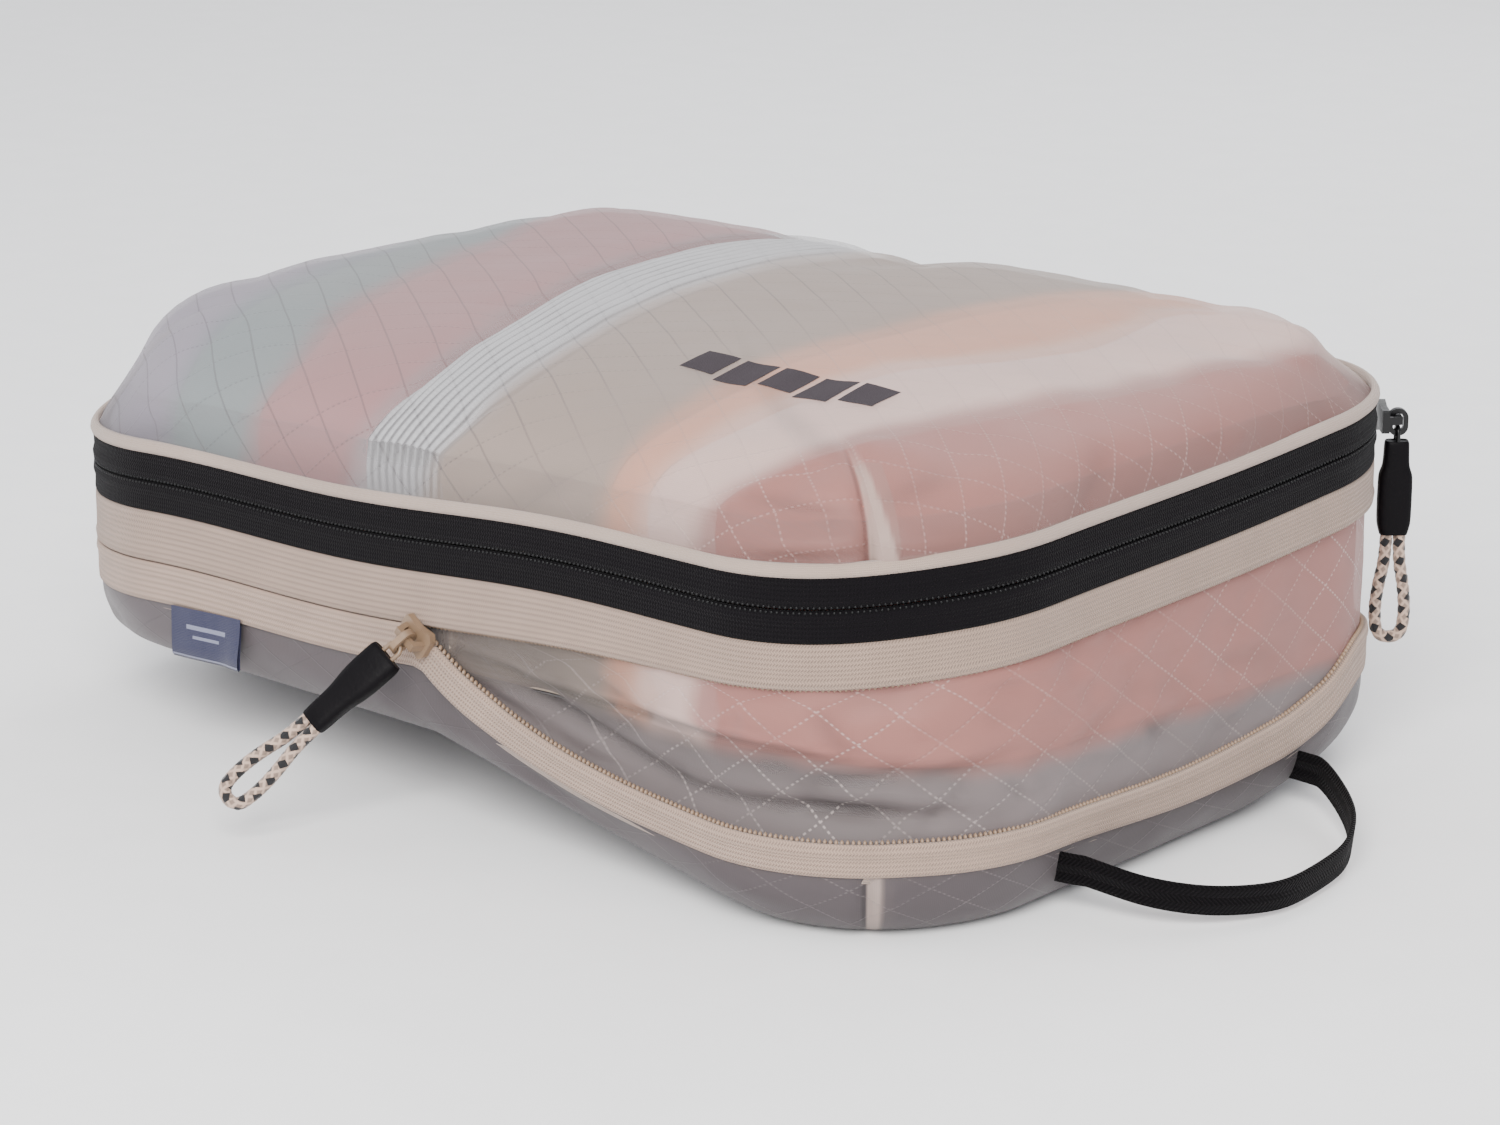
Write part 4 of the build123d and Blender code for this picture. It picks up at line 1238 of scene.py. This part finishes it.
def make_cord(prefix, plane, turn):
    """The loop of braided cord, as a tube whose strands stand out of it."""
    line = cord_points(prefix, plane, turn)
    run = running([(b - a).length for a, b in zip(line, line[1:])])
    count = int(run[-1] / (0.25 * MM))
    way = np.linspace(0, run[-1], count)
    centre = np.stack([np.interp(way, run, [p[k] for p in line]) for k in range(3)], -1)
    tangent = np.gradient(centre, axis=0)
    tangent /= np.linalg.norm(tangent, axis=1, keepdims=True)
    flat_normal = np.array((plane.to_3x3() @ Vector((math.cos(turn), -math.sin(turn), 0))).normalized())
    side = np.cross(tangent, flat_normal)
    side /= np.linalg.norm(side, axis=1, keepdims=True)
    around = np.linspace(0, 1, 24, endpoint=False)
    braid = np.maximum(*[np.sin(TAU * (n * around[None, :] + way[:, None] / CORD_LAY)) for n in (4, -4)])
    radius = (CORD_D / 2 - STRAND_RISE + STRAND_RISE * braid)[..., None] * MM
    c, s = np.cos(TAU * around)[None, :, None], np.sin(TAU * around)[None, :, None]
    points = centre[:, None] + radius * (c * side[:, None] + s * flat_normal)
    quads, spots = grid_quads(count, len(around), wrap_columns=True, flip=True)
    uv = points_of(spots[..., 1] / len(around), way[spots[..., 0]]) / MM
    caps = [face[::-1] for face in end_caps(len(around), count)]
    cord = make_piece(f"{prefix}_pull_cord", f"{prefix}_pull", "flecked_cord", points / MM, quads, uv, caps)


def keep_cad(node, look, bevel=0.35):
    """A CAD node kept as it is, with rounded edges and a better material."""
    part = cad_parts[node]
    part.data.materials.clear()
    part.data.materials.append(LOOKS[look])
    rounding = part.modifiers.new("rounding", "BEVEL")
    rounding.width = bevel * MM
    rounding.segments = 3
    rounding.limit_method = "ANGLE"
    rounding.harden_normals = True


def make_pulls():
    for prefix, plane, turn, shape, look in (
            ("main", MAIN_PLANE, math.pi / 2, MAIN_GRIP, "black_slider"),
            ("compression", SIDE_PLANE, 0.0, COMPRESSION_GRIP, "cream_slider")):
        make_grip(prefix, plane, turn, shape)
        make_cord(prefix, plane, turn)
        for part in ("slider_body", "slider_crown", "pull_link", "pull_eye"):
            keep_cad(f"{prefix}_{part}", look, 0.15 if part == "pull_eye" else 0.35)


# ---- handle
HANDLE_X = 190.0
HANDLE_Z = 13.0
HANDLE_PATH = [(175, -61.8), (184.6, -60.5), (190.2, -59), (206, -54.5), (222, -41), (230.5, -18), (228, 8),
               (216, 33), (190.2, 54), (184.6, 54.5), (175, 54.8)]
WEBBING = 9.5
WEBBING_T = 1.4


def make_handle():
    way = np.linspace(0, 1, len(HANDLE_PATH))
    dense = np.linspace(0, 1, 120)
    x, y = [smooth_curve(list(zip(way, column)))(dense) for column in zip(*HANDLE_PATH)]
    for _ in range(6):
        x[1:-1], y[1:-1] = (x[:-2] + 2 * x[1:-1] + x[2:]) / 4, (y[:-2] + 2 * y[1:-1] + y[2:]) / 4
    tangent = np.gradient(np.stack([x, y], -1), axis=0)
    tangent /= np.linalg.norm(tangent, axis=1, keepdims=True)
    normal = np.stack([tangent[:, 1], -tangent[:, 0]], -1)
    tall, thick = WEBBING / 2, WEBBING_T / 2
    section = [(-tall + 0.4, -thick), (-tall, 0), (-tall + 0.4, thick), (-tall / 2, thick), (0, thick),
               (tall / 2, thick), (tall - 0.4, thick), (tall, 0), (tall - 0.4, -thick), (tall / 2, -thick),
               (0, -thick), (-tall / 2, -thick)]
    up, out = np.array(section).T
    tipped = out + 0.12 * np.sin(np.linspace(0, math.pi, len(x)))[:, None] * up
    px, py = x[:, None] + normal[:, :1] * tipped, y[:, None] + normal[:, 1:] * tipped
    # the loop sinks to just over the floor
    droop = (HANDLE_Z - tall - 1.2) / (max(x for x, _ in HANDLE_PATH) - HANDLE_X)
    pz = HANDLE_Z - np.maximum(px - HANDLE_X, 0) * droop + up * math.sqrt(1 - droop ** 2)
    quads, spots = grid_quads(len(x), len(section), wrap_columns=True)
    run = running(np.hypot(np.diff(x), np.diff(y)))
    around = np.append(running(np.hypot(np.diff(up), np.diff(out))), 22.0)
    uv = points_of(run[spots[..., 0]], around[spots[..., 1]])
    handle = make_piece("handle_webbing", None, "black_webbing", points_of(px, py, pz), quads, uv,
                        end_caps(len(section), len(x)), replaces=["handle_webbing", "handle_anchors"])
    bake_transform(handle)


# ---- camera, light and floor
def aimed(piece, place, target):
    piece.location = place
    piece.rotation_euler = (Vector(target) - Vector(place)).to_track_quat("-Z", "Y").to_euler()
    bpy.context.scene.collection.objects.link(piece)


def area_light(name, place, target, size, power, color=(1, 1, 1)):
    light = bpy.data.lights.new(name, "AREA")
    light.shape = "DISK"
    light.size = size
    light.energy = power
    light.color = color
    aimed(bpy.data.objects.new(name, light), place, target)


def make_studio():
    azimuth, elevation, distance = math.radians(42.3), math.radians(16), 1.3156
    target = Vector((0, 0, 0.0607))
    level = math.cos(elevation)
    back = Vector((math.sin(azimuth) * level, -math.cos(azimuth) * level, math.sin(elevation)))
    lens = bpy.data.cameras.new("camera")
    lens.sensor_width = 36
    lens.lens = 100.87
    lens.shift_x, lens.shift_y = 0.0187, -0.0183
    camera = bpy.data.objects.new("camera", lens)
    aimed(camera, target + back * distance, target)
    bpy.context.scene.camera = camera

    area_light("key", (0.8, -1.15, 1.05), (0, 0, 0.05), 1.1, 44, (1.0, 0.985, 0.96))
    area_light("fill", (-1.3, -0.9, 0.8), (0, 0, 0.06), 1.2, 8, (0.96, 0.98, 1.0))
    area_light("rim", (-0.3, 1.3, 1.2), (0, 0, 0.08), 1.0, 11)
    world = bpy.data.worlds.new("studio")
    world.use_nodes = True
    sky = world.node_tree.nodes["Background"]
    sky.inputs["Color"].default_value = (0.95, 0.96, 1.0, 1)
    sky.inputs["Strength"].default_value = 1.2
    bpy.context.scene.world = world

    mesh = bpy.data.meshes.new("floor")
    reach = 12.0
    corners = [(-reach, -reach, 0), (reach, -reach, 0), (reach, reach, 0), (-reach, reach, 0)]
    mesh.from_pydata(corners, [], [(0, 1, 2, 3)])
    floor = bpy.data.objects.new("floor", mesh)
    pale = Shader("floor", (0.93, 0.93, 0.93), 0.8)
    pale.color(pale.mix(pale.cloud(40), (0.92, 0.92, 0.92), (0.94, 0.94, 0.94)))
    mesh.materials.append(pale.material)
    bpy.context.scene.collection.objects.link(floor)


make_studio()
make_pulls()
top_panel = make_lid()
make_print()
make_main_zipper()
make_compression_zipper()
make_gusset()
make_lower_shell()
make_garments(lid_tree(top_panel))
make_label()
make_handle()
